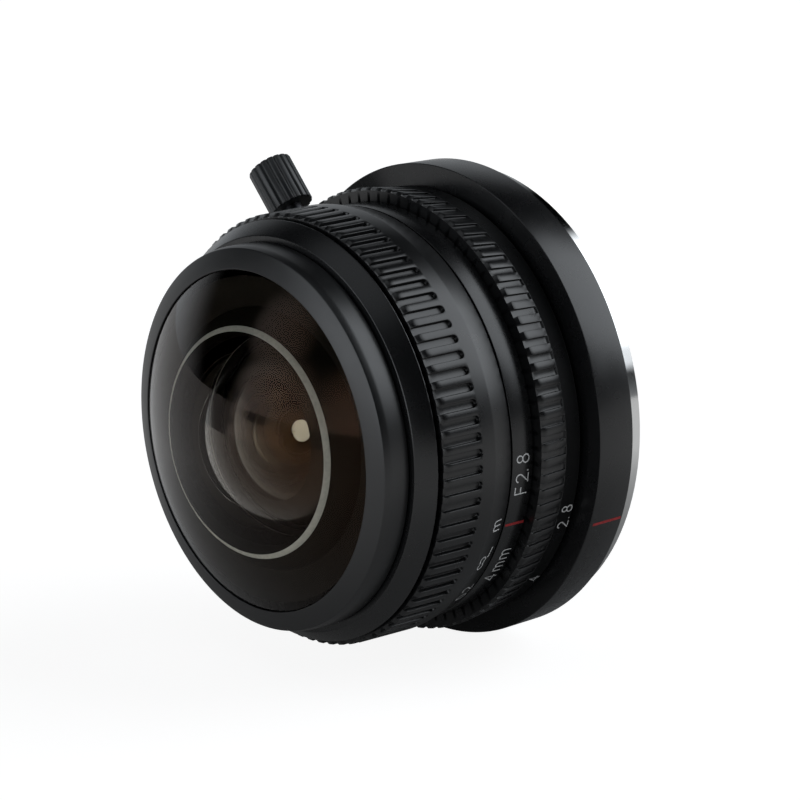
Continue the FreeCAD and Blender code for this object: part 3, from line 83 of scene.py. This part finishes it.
def remap(tree, source, low, high, start=0.0, end=1.0):
    """Value that runs from low to high while the source runs from start to end."""
    node = tree.nodes.new("ShaderNodeMapRange")
    node.inputs["From Min"].default_value = start
    node.inputs["From Max"].default_value = end
    node.inputs["To Min"].default_value = low
    node.inputs["To Max"].default_value = high
    tree.links.new(source, node.inputs["Value"])
    return node.outputs["Result"]


def combine(tree, operation, first, second):
    """Outcome of a mathematical operation on two values."""
    node = tree.nodes.new("ShaderNodeMath")
    node.operation = operation
    tree.links.new(first, node.inputs[0])
    tree.links.new(second, node.inputs[1])
    return node.outputs["Value"]


def uneven_gloss(tree, shader, scale, rough):
    """Roughness that wanders between the two values of rough."""
    value = remap(tree, noise(tree, scale, 3), *rough)
    tree.links.new(value, shader.inputs["Roughness"])


def grain_bump(tree, shader, scale, stretch, strength, depth):
    """Fine grain of the surface, with its depth in metres."""
    node = tree.nodes.new("ShaderNodeBump")
    node.inputs["Strength"].default_value = strength
    node.inputs["Distance"].default_value = depth
    tree.links.new(noise(tree, scale, 2, stretch), node.inputs["Height"])
    tree.links.new(node.outputs["Normal"], shader.inputs["Normal"])


def shaded(colour, share):
    """The colour made lighter or darker, up to white."""
    return tuple(min(1.0, part * share) for part in colour)


def anodised(name, colour, rough, grain=0.05, grain_scale=9000, turned_along=None, specular=0.5):
    """Black anodised metal: a fine blasted or turned grain and slightly uneven gloss."""
    mat, tree, shader = new_material(name)
    mottle(tree, shader, scale=140, detail=4, low=(0.3, colour),
           high=(0.7, shaded(colour, 1.18)))
    uneven_gloss(tree, shader, scale=420, rough=rough)
    grain_bump(tree, shader, grain_scale, turned_along, strength=grain, depth=0.00002)
    shader.inputs["Specular IOR Level"].default_value = specular
    return mat


def plated(name, colour, rough=(0.06, 0.14), turned_along=(0.05, 1.0, 0.05)):
    """Bare or plated metal with the faint marks of a turning tool."""
    mat, tree, shader = new_material(name)
    mottle(tree, shader, scale=200, detail=3, low=(0.3, shaded(colour, 0.94)),
           high=(0.7, colour))
    uneven_gloss(tree, shader, scale=900, rough=rough)
    grain_bump(tree, shader, 6000, turned_along, strength=0.04, depth=0.00001)
    shader.inputs["Metallic"].default_value = 1.0
    return mat


def paint(name, colour, rough=0.55, specular=0.5):
    """Ink filled into an engraved mark, or paint on a ground edge, a little uneven."""
    mat, tree, shader = new_material(name)
    mottle(tree, shader, scale=2500, detail=2, low=(0.35, shaded(colour, 0.86)),
           high=(0.6, colour))
    shader.inputs["Roughness"].default_value = rough
    shader.inputs["Specular IOR Level"].default_value = specular
    return mat


def coated_glass(name, tint, coat, ior):
    """Clear glass with the coloured mirror image that its coating gives."""
    mat, tree, shader = new_material(name)
    mottle(tree, shader, scale=60, detail=2, low=(0.3, tint), high=(0.7, shaded(tint, 1.02)))
    shader.inputs["Transmission Weight"].default_value = 1.0
    shader.inputs["IOR"].default_value = ior
    shader.inputs["Roughness"].default_value = 0.0
    shader.inputs["Specular Tint"].default_value = (*coat, 1)
    return mat


BLACK = (0.0045, 0.0047, 0.0052)
SATIN = anodised("black satin", BLACK, rough=(0.24, 0.3), specular=0.62)
SATIN_RING = anodised("black satin ribs", BLACK, rough=(0.25, 0.32), specular=0.62)
SANDED = anodised("black blasted", (0.006, 0.0062, 0.0068), rough=(0.3, 0.38), grain=0.3,
                  grain_scale=7000, specular=0.7)
MATT = anodised("matt black", (0.002, 0.0018, 0.0015), rough=(0.6, 0.72),
                turned_along=(0.02, 1.0, 0.02), specular=0.12)
KNURL = anodised("black knob", (0.02, 0.021, 0.0225), rough=(0.3, 0.4))
CHROME = plated("polished plating", (0.86, 0.86, 0.85))
STEEL = plated("bright screw", (0.62, 0.61, 0.6), rough=(0.18, 0.3))
DARK_STEEL = plated("blackened steel", (0.06, 0.06, 0.065), rough=(0.3, 0.45))
BRASS = plated("greased brass", (0.62, 0.45, 0.2), rough=(0.25, 0.4))
BLADES = plated("matt blades", (0.035, 0.035, 0.037), rough=(0.4, 0.55), turned_along=None)
WHITE_INK = paint("white ink", (0.82, 0.83, 0.83))
RED_INK = paint("red ink", (0.42, 0.018, 0.022))
GLASS = coated_glass("coated glass", (0.93, 0.93, 0.92), (0.14, 0.07, 0.02), 1.5)
FRONT_GLASS = coated_glass("coated front glass", (0.96, 0.94, 0.88), (0.19, 0.11, 0.07), 1.58)
SECOND_GLASS = coated_glass("coated second glass", (0.84, 0.76, 0.62), (0.12, 0.06, 0.015), 1.5)
EDGE_PAINT = paint("black edge paint", (0.012, 0.0092, 0.0064), rough=0.7, specular=0.08)
GROUND = paint("ground glass edge", (0.6, 0.6, 0.54), rough=0.5)


# Geometry

def add_mesh(name, verts, faces, body, materials, sharp_angle, finish=None):
    """Links a mesh in millimetres and lets it ride on a body; finish is a material per face."""
    mesh = bpy.data.meshes.new(name)
    mesh.from_pydata([Vector(v) * MM for v in verts], [], faces)
    for material in materials:
        mesh.materials.append(material)
    if finish:
        mesh.polygons.foreach_set("material_index", finish)
    work = bmesh.new()
    work.from_mesh(mesh)
    bmesh.ops.remove_doubles(work, verts=work.verts, dist=1e-7)
    bmesh.ops.recalc_face_normals(work, faces=work.faces)
    work.to_mesh(mesh)
    work.free()
    for face in mesh.polygons:
        face.use_smooth = True
    mesh.set_sharp_from_angle(angle=math.radians(sharp_angle))
    piece = bpy.data.objects.new(name, mesh)
    bpy.context.scene.collection.objects.link(piece)
    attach(piece, body)
    return piece


def at(radius, angle, station):
    """Point of the row frame in mm: angle in radians from +X towards +Z, station to the front."""
    return (radius * math.cos(angle), -station, radius * math.sin(angle))


def straight(s_rear, rear, s_front, front):
    """Radius that runs evenly between two stations."""
    return lambda s: rear + (front - rear) * (s - s_rear) / (s_front - s_rear)


def drum(radius):
    """The same radius at every station."""
    return lambda s: radius


# Turned rings

RING_SEGMENTS = 360
CORNER_SIZE = 0.1
CORNER_STEPS = 3
LARGEST_CORNER_SHARE = 0.45
SMALLEST_CORNER = 0.005


def rounded(outline):
    """Rounds the corners of a closed outline of (radius, station[, corner size]) points."""
    result = []
    count = len(outline)
    for number, point in enumerate(outline):
        here = Vector(point[:2])
        before = Vector(outline[number - 1][:2]) - here
        after = Vector(outline[(number + 1) % count][:2]) - here
        cut = point[2] if len(point) > 2 else CORNER_SIZE
        cut = min(cut, before.length * LARGEST_CORNER_SHARE, after.length * LARGEST_CORNER_SHARE)
        if cut < SMALLEST_CORNER:
            result.append(here)
            continue
        first = here + before.normalized() * cut
        last = here + after.normalized() * cut
        for step in range(CORNER_STEPS + 1):
            t = step / CORNER_STEPS
            result.append(first * (1 - t) ** 2 + here * 2 * t * (1 - t) + last * t ** 2)
    return result


def turned(node, outline, body, material):
    """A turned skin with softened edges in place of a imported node."""
    section = rounded(outline)
    count = len(section)
    verts, faces = [], []
    for step in range(RING_SEGMENTS):
        angle = 2 * math.pi * step / RING_SEGMENTS
        verts += [at(radius, angle, station) for radius, station in section]
        here, after = step * count, (step + 1) % RING_SEGMENTS * count
        for number in range(count):
            following = (number + 1) % count
            faces.append((here + number, here + following, after + following, after + number))
    piece = add_mesh(node + "_skin", verts, faces, body, [material], sharp_angle=30)
    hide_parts(node)


# Ribbed rings

GROOVE_ROWS = 6
GROOVE_END_STEPS = 10
RIB_BEVEL = 0.4
SOFT_SHARE = 0.3
SKIN_BEHIND_SHARE = 1.4
LIP_UNDER_GROOVE = 0.04
# forward and inward reach of the bevel that breaks the front edge of every rib
BEVEL_STEPS = [(0.05, 0.03), (RIB_BEVEL - 0.05, RIB_BEVEL - 0.06), (RIB_BEVEL, RIB_BEVEL)]


def groove_loop(half, rear, front, shrink, is_round):
    """Edge of a groove from its front left, round its rear end, to its front right."""
    h = half - shrink
    bend = rear + half if is_round else rear + shrink
    points = [(-h, front + (bend - front) * number / GROOVE_ROWS) for number in range(GROOVE_ROWS)]
    for number in range(GROOVE_END_STEPS + 1):
        share = number / GROOVE_END_STEPS
        if is_round:
            angle = math.pi + math.pi * share
            points.append((h * math.cos(angle), bend + h * math.sin(angle)))
        else:
            points.append((-h + 2 * h * share, bend))
    points += [(h, bend + (front - bend) * (number + 1) / GROOVE_ROWS)
               for number in range(GROOVE_ROWS)]
    return points


def ribbed(name, body, count, land, floor, width, rear, front, bore, back, is_round, edge):
    """A ring whose outside carries grooves that are open at the front, one patch per pitch."""
    pitch = 2 * math.pi / count
    mean = (land(rear) + land(front)) / 2
    border = pitch * mean / 2
    top = front - RIB_BEVEL
    lip = floor(front) - LIP_UNDER_GROOVE
    soft = edge * SOFT_SHARE
    behind = rear - edge * SKIN_BEHIND_SHARE
    verts, faces = [], []

    def loop(surface, shrink, rise):
        return [(u, s, surface(s) + rise)
                for u, s in groove_loop(width / 2, rear, top, shrink, is_round)]

    def put(turn, u, s, r):
        verts.append(at(r, turn + u / mean, s))
        return len(verts) - 1

    def strip(a, b):
        for number in range(len(a) - 1):
            faces.append((a[number], a[number + 1], b[number + 1], b[number]))

    loops = [loop(land, -edge, 0.0), loop(land, -soft, -soft), loop(land, 0.0, -edge),
             loop(floor, 0.0, edge), loop(floor, soft, soft), loop(floor, edge, 0.0)]
    size = len(loops[0])
    places = [(-border, land(top))] + [(row[0][0], row[0][2]) for row in loops]
    places += [(row[-1][0], row[-1][2]) for row in loops[::-1]] + [(border, land(top))]
    for step in range(count):
        turn = step * pitch
        grid = [[put(turn, *p) for p in row] for row in loops]
        # land from the groove's edge out to the patch border
        outer = []
        for number, (_, s, _) in enumerate(loops[0]):
            if number < GROOVE_ROWS:
                outer.append(put(turn, -border, s, land(s)))
            elif number >= size - GROOVE_ROWS:
                outer.append(put(turn, border, s, land(s)))
            else:
                share = (number - GROOVE_ROWS) / (size - 1 - 2 * GROOVE_ROWS)
                outer.append(put(turn, -border + 2 * border * share, behind, land(behind)))
        for a, b in zip([outer] + grid, grid):
            strip(a, b)
        # floor of the groove, between its two sides
        last = grid[-1]
        for number in range(size // 2):
            faces.append((last[number], last[number + 1], last[size - 2 - number],
                          last[size - 1 - number]))
        # bevelled front edge, then the flat front face down to the bore
        profile = [outer[0]] + [row[0] for row in grid] + [row[-1] for row in grid[::-1]]
        profile.append(outer[-1])
        for forward, drop in BEVEL_STEPS:
            after = [put(turn, u, top + forward, max(r - drop, floor(top + forward)))
                     for u, r in places]
            strip(profile, after)
            profile = after
        for number in range(len(places) - 1):
            u, v = places[number][0], places[number + 1][0]
            if abs(u - v) < TINY:
                continue
            low = [put(turn, v, front, lip), put(turn, u, front, lip)]
            inner = [put(turn, v, front, bore), put(turn, u, front, bore)]
            faces.append((profile[number], profile[number + 1], *low))
            faces.append((low[1], low[0], *inner))
        # plain skin behind the grooves and the rear face
        row = outer[GROOVE_ROWS:size - GROOVE_ROWS]
        for radius, station in back:
            after = [put(turn, -border + 2 * border * n / (len(row) - 1), station, radius)
                     for n in range(len(row))]
            strip(row, after)
            row = after
    return add_mesh(name, verts, faces, body, [SATIN_RING], sharp_angle=50)


focus = ribbed(
    "focusing_ring_skin", "focusing_ring", count=84, land=drum(27.87), floor=drum(27.3),
    width=1.06, rear=24.97, front=31.0, bore=26.6,
    back=[(27.87, 23.02), (27.84, 22.8), (27.8, 22.66), (27.2, 19.86), (27.13, 19.7),
          (27.05, 19.62), (26.95, 19.6), (25.12, 19.6), (25.12, 23.6), (25.95, 23.6),
          (25.95, 28.0), (26.6, 28.0), (26.6, 31.0)],
    is_round=True, edge=0.07)
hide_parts("focus_ring")

aperture = ribbed(
    "aperture_ring_skin", "aperture_ring", count=88, land=straight(11.49, 28.38, 15.88, 28.97),
    floor=straight(11.6, 28.125, 15.88, 28.55), width=0.95, rear=11.61, front=15.88, bore=25.62,
    back=[(28.38, 11.5), (28.36, 11.46), (28.24, 11.44), (28.2, 11.38), (28.2, 9.15),
          (28.17, 9.05), (28.1, 8.97), (27.36, 8.47), (27.28, 8.42), (25.62, 8.42),
          (25.62, 15.88)],
    is_round=False, edge=0.05)
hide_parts("aperture_ring")

turned("rear_housing", [
    (21.6, 2.39), (30.83, 2.39, 0.18), (31.0, 8.17, 0.16), (25.5, 8.17, 0.05),
    (25.5, 19.45), (25.0, 19.45), (25.0, 25.6), (23.6, 25.6), (23.6, 9.0), (17.8, 9.0),
    (17.8, 6.4), (21.6, 6.4)], "housing", SATIN)
turned("index_ring", [
    (25.53, 16.03), (27.13, 16.03, 0.1), (27.13, 19.4, 0.1), (25.53, 19.4)],
    "housing", SATIN)
turned("front_barrel", [
    (21.35, 31.5), (27.0, 31.5, 0.05), (27.2, 31.75, 0.16), (25.5, 34.08, 0.12),
    (23.95, 34.12, 0.05), (23.95, 32.9), (22.55, 32.9), (22.55, 34.25), (19.1, 34.25),
    (19.1, 33.65), (21.35, 33.65)], "lens_unit", SATIN)
turned("front_retaining_ring", [
    (23.9, 33.1), (23.9, 34.32, 0.05), (24.72, 34.32, 0.1), (24.72, 37.12, 0.25),
    (24.5, 37.99, 0.12), (21.98, 38.9, 0.06), (21.9, 38.8, 0.03), (21.9, 38.75, 0.02),
    (22.65, 38.25, 0.03), (22.65, 33.1)], "lens_unit", SANDED)


# Lever

def knurled_knob():
    """The lever's knob: a fluted drum with a domed crown, standing out from the ring."""
    angle, station = math.radians(134.4), 14.43
    low, high, radius, crown = 31.62, 38.32, 3.0, 0.15
    flutes, flute_depth = 18, 0.2
    around = flutes * 14
    crown_turns = (0, 0.4, 0.8, 1.2, 1.57)
    # distance from the optical axis, share of the radius, share of the flutes' depth
    levels = [(low, 0.9, 0.5), (low, 0.965, 1.0), (low + 0.03, 0.99, 1.0), (low + 0.1, 1.0, 1.0)]
    levels += [(high - crown + crown * math.sin(t), 1 - crown / radius * (1 - math.cos(t)), 1.0)
               for t in crown_turns]
    levels += [(high, 0.86, 0.3), (high + 0.03, 0.6, 0.0), (high + 0.05, 0.3, 0.0)]
    out = Vector((math.cos(angle), 0, math.sin(angle)))
    side = Vector((-math.sin(angle), 0, math.cos(angle)))
    front = Vector((0, -1, 0))
    verts = []
    for height, share, depth in levels:
        for step in range(around):
            turn = 2 * math.pi * step / around
            groove = max(0.0, math.cos(flutes * turn)) ** 2 * flute_depth * depth
            reach = radius * share - groove
            verts.append(out * height + (side * math.cos(turn) + front * math.sin(turn)) * reach
                         + front * station)
    faces = []
    for row in range(len(levels) - 1):
        for step in range(around):
            a, b = row * around + step, row * around + (step + 1) % around
            faces.append((a, b, b + around, a + around))
    verts += [out * low + front * station, out * levels[-1][0] + front * station]
    top = (len(levels) - 1) * around
    for step in range(around):
        faces.append((len(verts) - 2, (step + 1) % around, step))
        faces.append((len(verts) - 1, top + step, top + (step + 1) % around))
    piece = add_mesh("lever_knob_skin", verts, faces, "aperture_ring", [KNURL],
                     sharp_angle=50)
    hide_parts("lever_knob")


knurled_knob()


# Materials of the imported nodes

def is_lens_element(node):
    """Glass itself, apart from the rings that hold it."""
    return node.startswith("glass_") and not node.endswith(("_retainer", "_spacer"))


for material, names in (
        (SATIN, ["rear_housing", "index_ring", "front_barrel", "focus_ring", "aperture_ring"]),
        (SANDED, ["front_retaining_ring"]),
        (KNURL, ["lever_knob"]),
        (CHROME, ["mount_ring"]),
        (STEEL, ["mount_screws", "baffle_screws", "key_screws", "mount_shim"]),
        (MATT, ["main_barrel", "rear_cell", "rear_baffle", "focus_retainer", "focus_clamp_ring",
                "glass_2_retainer", "glass_4_retainer", "glass_spacer", "doublet_retainer",
                "rear_glass_retainer", "iris_base_plate", "iris_spacer", "iris_cover"]),
        (BRASS, ["helicoid_ring"]),
        (DARK_STEEL, ["index_screws", "lever_stud", "iris_drive_pin", "iris_ring",
                      "guide_keys"]),
        (BLADES, [node for node in nodes if node.startswith("iris_blade")]),
        (GLASS, [node for node in nodes if is_lens_element(node)])):
    for name in names:
        nodes[name].data.materials.clear()
        nodes[name].data.materials.append(material)


# Glass

GLASS_SEGMENTS = 256
DOME_STEPS = 28


def dome(rim_radius, rim, apex):
    """Half section of a domed surface from its rim to its apex on the axis."""
    sag = apex - rim
    ball = (rim_radius ** 2 + sag ** 2) / (2 * abs(sag))
    centre = apex - math.copysign(ball, sag)
    reach = math.atan2(rim_radius, (rim - centre) * math.copysign(1, sag))
    angles = [reach * (1 - n / DOME_STEPS) for n in range(DOME_STEPS + 1)]
    return [(ball * math.sin(t), centre + math.copysign(ball, sag) * math.cos(t)) for t in angles]


def glass_piece(node, front, rim_points, rear, materials, edges, clear=math.inf):
    """One lens element with the finish of each edge face, painted outside its clear radius."""
    outline = dome(*front)[::-1] + rim_points + dome(*rear)
    inner = [p for p in outline if p[0] > TINY]
    count = len(inner)
    rim = DOME_STEPS - 1
    row = [1 if number < rim and inner[number][0] > clear else 0 for number in range(count)]
    row[rim:rim + len(edges)] = edges
    verts = [at(0, 0, outline[0][1]), at(0, 0, outline[-1][1])]
    faces, finish = [], []
    for step in range(GLASS_SEGMENTS):
        angle = 2 * math.pi * step / GLASS_SEGMENTS
        verts += [at(radius, angle, station) for radius, station in inner]
        a, b = 2 + step * count, 2 + (step + 1) % GLASS_SEGMENTS * count
        faces += [(0, a, b), (1, b + count - 1, a + count - 1)]
        finish += [0, 0]
        for number in range(count - 1):
            faces.append((a + number, a + number + 1, b + number + 1, b + number))
            finish.append(row[number])
    piece = add_mesh(node + "_clear", verts, faces, "lens_unit", materials, sharp_angle=25,
                     finish=finish)
    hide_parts(node)


# front and rear surface: radius and station of the rim, station of the apex
glass_piece("glass_1_front_dome", (22.6, 38.2, 45.65),
            [(22.6, 34.25), (19.0, 34.25), (19.0, 32.0), (14.5, 32.0), (13.45, 36.1)],
            (12.95, 36.8, 43.0), [FRONT_GLASS, EDGE_PAINT, GROUND], [1, 1, 1, 1, 1, 2])
glass_piece("glass_2_meniscus", (14.2, 31.15, 36.0), [(14.2, 29.0), (7.6, 29.0)],
            (7.6, 29.0, 34.3), [SECOND_GLASS, EDGE_PAINT], [1, 1], clear=8.6)
glass_piece("glass_7_rear", (8.6, 2.9, 3.8), [], (8.6, 0.9, -0.1), [GLASS, EDGE_PAINT], [1])


# Engraved marks

STROKE_WIDTH = 0.17
INK_LIFT = 0.012
SHARPEST_MITRE = 0.5


def arc(x, y, wide, high, start, end, steps):
    """Points of an elliptic arc, angles in degrees, counter-clockwise where end is larger."""
    angles = [math.radians(start + (end - start) * n / steps) for n in range(steps + 1)]
    return [(x + wide * math.cos(t), y + high * math.sin(t)) for t in angles]


# Thin engraver's figures in a box one high, each a list of strokes.
FIGURES = {
    "0": [arc(0.3, 0.5, 0.27, 0.5, 90, 450, 28)],
    "2": [arc(0.3, 0.72, 0.27, 0.28, 165, -35, 14) + [(0.03, 0.0), (0.6, 0.0)]],
    "4": [[(0.45, 0.0), (0.45, 1.0), (0.0, 0.3), (0.62, 0.3)]],
    "8": [arc(0.3, 0.76, 0.22, 0.24, -90, 270, 22), arc(0.3, 0.26, 0.27, 0.26, 90, 450, 24)],
    "F": [[(0.06, 0.0), (0.06, 1.0), (0.56, 1.0)], [(0.06, 0.53), (0.5, 0.53)]],
    ".": [[(0.08, 0.0), (0.08, 0.12)]],
    "m": [[(0.05, 0.0), (0.05, 0.7)], arc(0.26, 0.5, 0.21, 0.2, 180, 0, 10) + [(0.47, 0.0)],
          arc(0.68, 0.5, 0.21, 0.2, 180, 0, 10) + [(0.89, 0.0)]],
    "infinity": [arc(0.28, 0.5, 0.28, 0.26, 45, 315, 18)
                 + arc(0.92, 0.5, 0.28, 0.26, -135, 135, 18) + [(0.48, 0.68)]],
}


def ribbon(points, width):
    """Left and right edge of a stroke, mitred at its bends."""
    left, right = [], []
    for number, point in enumerate(points):
        here = Vector(point)
        before = here - Vector(points[max(0, number - 1)])
        after = Vector(points[min(len(points) - 1, number + 1)]) - here
        before = before.normalized() if before.length > TINY else after.normalized()
        after = after.normalized() if after.length > TINY else before
        along = (before + after).normalized()
        reach = width / 2 / max(SHARPEST_MITRE, along.dot(before))
        side = Vector((-along.y, along.x)) * reach
        left.append(here + side)
        right.append(here - side)
    return left, right


def mark(name, body, surface, strokes, angle, station, material, width=STROKE_WIDTH):
    """Strokes in mm laid on a ring: across is the way the angle grows, up is to the front."""
    verts, faces = [], []
    start = math.radians(angle)
    for points in strokes:
        base = len(verts)
        for edge in zip(*ribbon(points, width)):
            for x, y in edge:
                radius = surface(station + y) + INK_LIFT
                verts.append(at(radius, start + x / radius, station + y))
        for number in range(len(points) - 1):
            a = base + 2 * number
            faces.append((a, a + 2, a + 3, a + 1))
    add_mesh(name, verts, faces, body, [material], sharp_angle=60)


def scale(body, name, surface, station, height, signs):
    """Figures of one scale, each with the angle of its middle and, if its own, its station."""
    for number, (sign, angle, *own_station) in enumerate(signs):
        strokes = [[(x * height, y * height) for x, y in stroke] for stroke in FIGURES[sign]]
        reach = [x for stroke in strokes for x, y in stroke]
        shift = (min(reach) + max(reach)) / 2
        strokes = [[(x - shift, y - height / 2) for x, y in stroke] for stroke in strokes]
        place = own_station[0] if own_station else station
        mark("%s_%d" % (name, number), body, surface, strokes, angle, place, WHITE_INK)


index_band = drum(27.13)
stop_band = drum(28.2)
focus_taper = straight(19.86, 27.2, 22.66, 27.8)
flange = straight(2.39, 30.83, 8.17, 31.0)
scale("housing", "widest_stop", index_band, station=17.7, height=1.95,
      signs=[("F", -9.3), ("2", -5.8), (".", -3.9), ("8", -0.5)])
scale("housing", "focal_length", index_band, station=17.6, height=1.9,
      signs=[("4", -39.6), ("m", -34.9), ("m", -30.1)])
scale("focusing_ring", "distance", focus_taper, station=21.1, height=1.75,
      signs=[("m", -18.1, 21.26), ("infinity", -30.2, 21.6), ("0", -45.2), (".", -43.3),
             ("2", -41.2)])
mark("distance_tick", "focusing_ring", focus_taper, [[(0, 0.2), (0, 0), (1.5, -0.2)]],
     angle=-28.5, station=20.7, material=WHITE_INK)
scale("aperture_ring", "stops", stop_band, station=10.0, height=1.65,
      signs=[("2", -22.0), (".", -20.1), ("8", -17.1), ("4", -42.5)])
mark("focus_index_line", "housing", index_band, [[(0, 0), (0, 3.1)]],
     angle=-19.4, station=16.15, material=RED_INK, width=0.38)
mark("mount_index_line", "housing", flange, [[(0, 0), (0, 4.9)]],
     angle=-19.65, station=2.7, material=RED_INK, width=0.4)


# Light

world = bpy.data.worlds.new("studio")
bpy.context.scene.world = world
world.use_nodes = True
studio = world.node_tree
heading = studio.nodes.new("ShaderNodeTexCoord").outputs["Generated"]


def glow(towards, wide, soft, strength):
    """Radiance of a pale wall or light seen in one direction, in degrees round it."""
    dot = studio.nodes.new("ShaderNodeVectorMath")
    dot.operation = "DOT_PRODUCT"
    studio.links.new(heading, dot.inputs[0])
    dot.inputs[1].default_value = Vector(towards).normalized()
    edge = studio.nodes.new("ShaderNodeMapRange")
    edge.interpolation_type = "SMOOTHSTEP"
    edge.inputs["From Min"].default_value = math.cos(math.radians(wide + soft))
    edge.inputs["From Max"].default_value = math.cos(math.radians(max(0, wide - soft)))
    edge.inputs["To Min"].default_value = 0.0
    edge.inputs["To Max"].default_value = strength
    studio.links.new(dot.outputs["Value"], edge.inputs["Value"])
    return edge.outputs["Result"]


# direction, half width and soft edge in degrees, radiance
STUDIO_GLOWS = [
    ((0.42, 0.66, 0.62), 23, 6, 2.1),       # large light behind, above and to the right
    ((0.28, 0.86, 0.42), 19, 6, 2.1),       # its far end
    ((0.55, 0.55, -0.6), 32, 18, 0.4),      # table behind, on the right
    ((-0.42, 0.75, -0.5), 15, 9, 0.32),     # table behind, on the left
    ((-0.85, 0.5, 0.15), 26, 14, 0.4),      # far end of the left wall
    ((-0.94, 0.1, -0.27), 28, 14, 0.75),    # near end of the left wall
    ((-0.4, -0.65, -0.62), 24, 14, 0.38),   # table in front, on the left
    ((0.5, -0.38, -0.78), 32, 16, 0.38),    # table in front, on the right
    ((-0.07, -0.36, 0.93), 22, 14, 0.42),   # ceiling
    ((-0.28, -0.95, 0.0), 17, 8, 2.2),      # front light, left part
    ((0.3, -0.93, 0.0), 16, 12, 2.2),       # front light, right part
    ((-0.38, -0.8, 0.42), 9, 8, 1.4),       # front light, upper part
    ((-0.73, 0.63, -0.27), 12, 9, 0.7),     # patch at the foot of the left wall
    ((0.7, 0.62, -0.35), 8, 3, 1.0),        # small lights along the bayonet's rim
    ((0.77, 0.62, -0.12), 5, 2, 1.0),
    ((0.73, 0.63, 0.27), 5, 2, 1.0),
    ((0.4, 0.63, -0.68), 7, 3, 0.9),
    ((0, 0, 1), 180, 0.0, 0.06),            # the dark room itself
]

strongest, *others = [glow(*values) for values in STUDIO_GLOWS]
for other in others:
    strongest = combine(studio, "MAXIMUM", strongest, other)
back = studio.nodes["Background"]
back.inputs["Color"].default_value = (0.95, 1.0, 1.05, 1)
studio.links.new(strongest, back.inputs["Strength"])

# white backdrop for the camera, and behind the lens for what is seen through the glass
white = studio.nodes.new("ShaderNodeBackground")
white.inputs["Color"].default_value = (1, 1, 1, 1)
path = studio.nodes.new("ShaderNodeLightPath")
through = combine(studio, "MULTIPLY", path.outputs["Is Transmission Ray"],
                  glow((-0.3, 0.95, -0.1), wide=50, soft=10, strength=1.0))
seen = combine(studio, "MAXIMUM", path.outputs["Is Camera Ray"], through)
pick = studio.nodes.new("ShaderNodeMixShader")
studio.links.new(seen, pick.inputs["Fac"])
studio.links.new(back.outputs["Background"], pick.inputs[1])
studio.links.new(white.outputs["Background"], pick.inputs[2])
studio.links.new(pick.outputs["Shader"], studio.nodes["World Output"].inputs["Surface"])


# Floor

FLOOR_LEVEL = -0.0311
FLOOR_REACH = 2.0
FLOOR_WHITE = 0.9
# glow of the floor in the lens's reflections, painted light that stands in for the lit floor, with
# a painted shadow that leaves it dark under the lens, and the distances where it starts and ends
# to grow
PAINTED_SHADOW_UNDER_LENS, PALE_FURTHER_OUT = 0.02, 0.42
UNDER_LENS, FURTHER_OUT = 0.035, 0.11

floor_paint, floor_tree, floor_shader = new_material("pale floor")
mottle(floor_tree, floor_shader, scale=3, detail=2, low=(0.3, (0.3, 0.3, 0.3)),
       high=(0.7, (0.32, 0.32, 0.32)))
floor_shader.inputs["Roughness"].default_value = 0.9
floor_shader.inputs["Specular IOR Level"].default_value = 0.0
floor_shader.inputs["Emission Color"].default_value = (1, 1, 1, 1)
floor_distance = floor_tree.nodes.new("ShaderNodeVectorMath")
floor_distance.operation = "LENGTH"
floor_place = floor_tree.nodes.new("ShaderNodeTexCoord").outputs["Object"]
floor_tree.links.new(floor_place, floor_distance.inputs[0])
# painted light and painted shadow: for rays other than the camera's, the floor glows dark under
# the lens and pale further out
floor_glow_with_painted_shadow = remap(floor_tree, floor_distance.outputs["Value"], PAINTED_SHADOW_UNDER_LENS,
                  PALE_FURTHER_OUT, UNDER_LENS, FURTHER_OUT)
floor_path = floor_tree.nodes.new("ShaderNodeLightPath")
floor_seen = combine(floor_tree, "MAXIMUM", floor_path.outputs["Is Camera Ray"],
                     floor_path.outputs["Is Transmission Ray"])
floor_light = floor_tree.nodes.new("ShaderNodeMapRange")
floor_light.inputs["To Max"].default_value = FLOOR_WHITE
floor_tree.links.new(floor_seen, floor_light.inputs["Value"])
floor_tree.links.new(floor_glow_with_painted_shadow, floor_light.inputs["To Min"])
floor_tree.links.new(floor_light.outputs["Result"], floor_shader.inputs["Emission Strength"])

floor_mesh = bpy.data.meshes.new("floor")
floor_corners = [(-1, -1), (1, -1), (1, 1), (-1, 1)]
floor_mesh.from_pydata([(x * FLOOR_REACH, y * FLOOR_REACH, FLOOR_LEVEL) for x, y in floor_corners],
                       [], [(0, 1, 2, 3)])
floor_mesh.materials.append(floor_paint)
floor = bpy.data.objects.new("floor", floor_mesh)
bpy.context.scene.collection.objects.link(floor)


# Camera on the photograph's line of sight

AZIMUTH, ELEVATION = math.radians(49.5), math.radians(15.51)
DISTANCE = 579.9
ORIGIN_LEFT_OF_CENTRE, ORIGIN_BELOW_CENTRE = 11.14, 1.522

right = Vector((math.cos(AZIMUTH), math.sin(AZIMUTH), 0))
forward = Vector((-math.sin(AZIMUTH) * math.cos(ELEVATION),
                  math.cos(AZIMUTH) * math.cos(ELEVATION), -math.sin(ELEVATION)))
up = right.cross(forward)
camera_data = bpy.data.cameras.new("camera")
camera_data.lens = 198.74
camera_data.sensor_width = 36
camera_data.sensor_fit = "HORIZONTAL"
camera_data.clip_start = 0.01
camera = bpy.data.objects.new("camera", camera_data)
bpy.context.scene.collection.objects.link(camera)
stand = Matrix((right, up, -forward)).transposed().to_4x4()
stand.translation = -MM * (right * ORIGIN_LEFT_OF_CENTRE + up * ORIGIN_BELOW_CENTRE
                           + forward * DISTANCE)
camera.matrix_world = stand
bpy.context.scene.camera = camera
bpy.context.scene.view_settings.view_transform = "Standard"
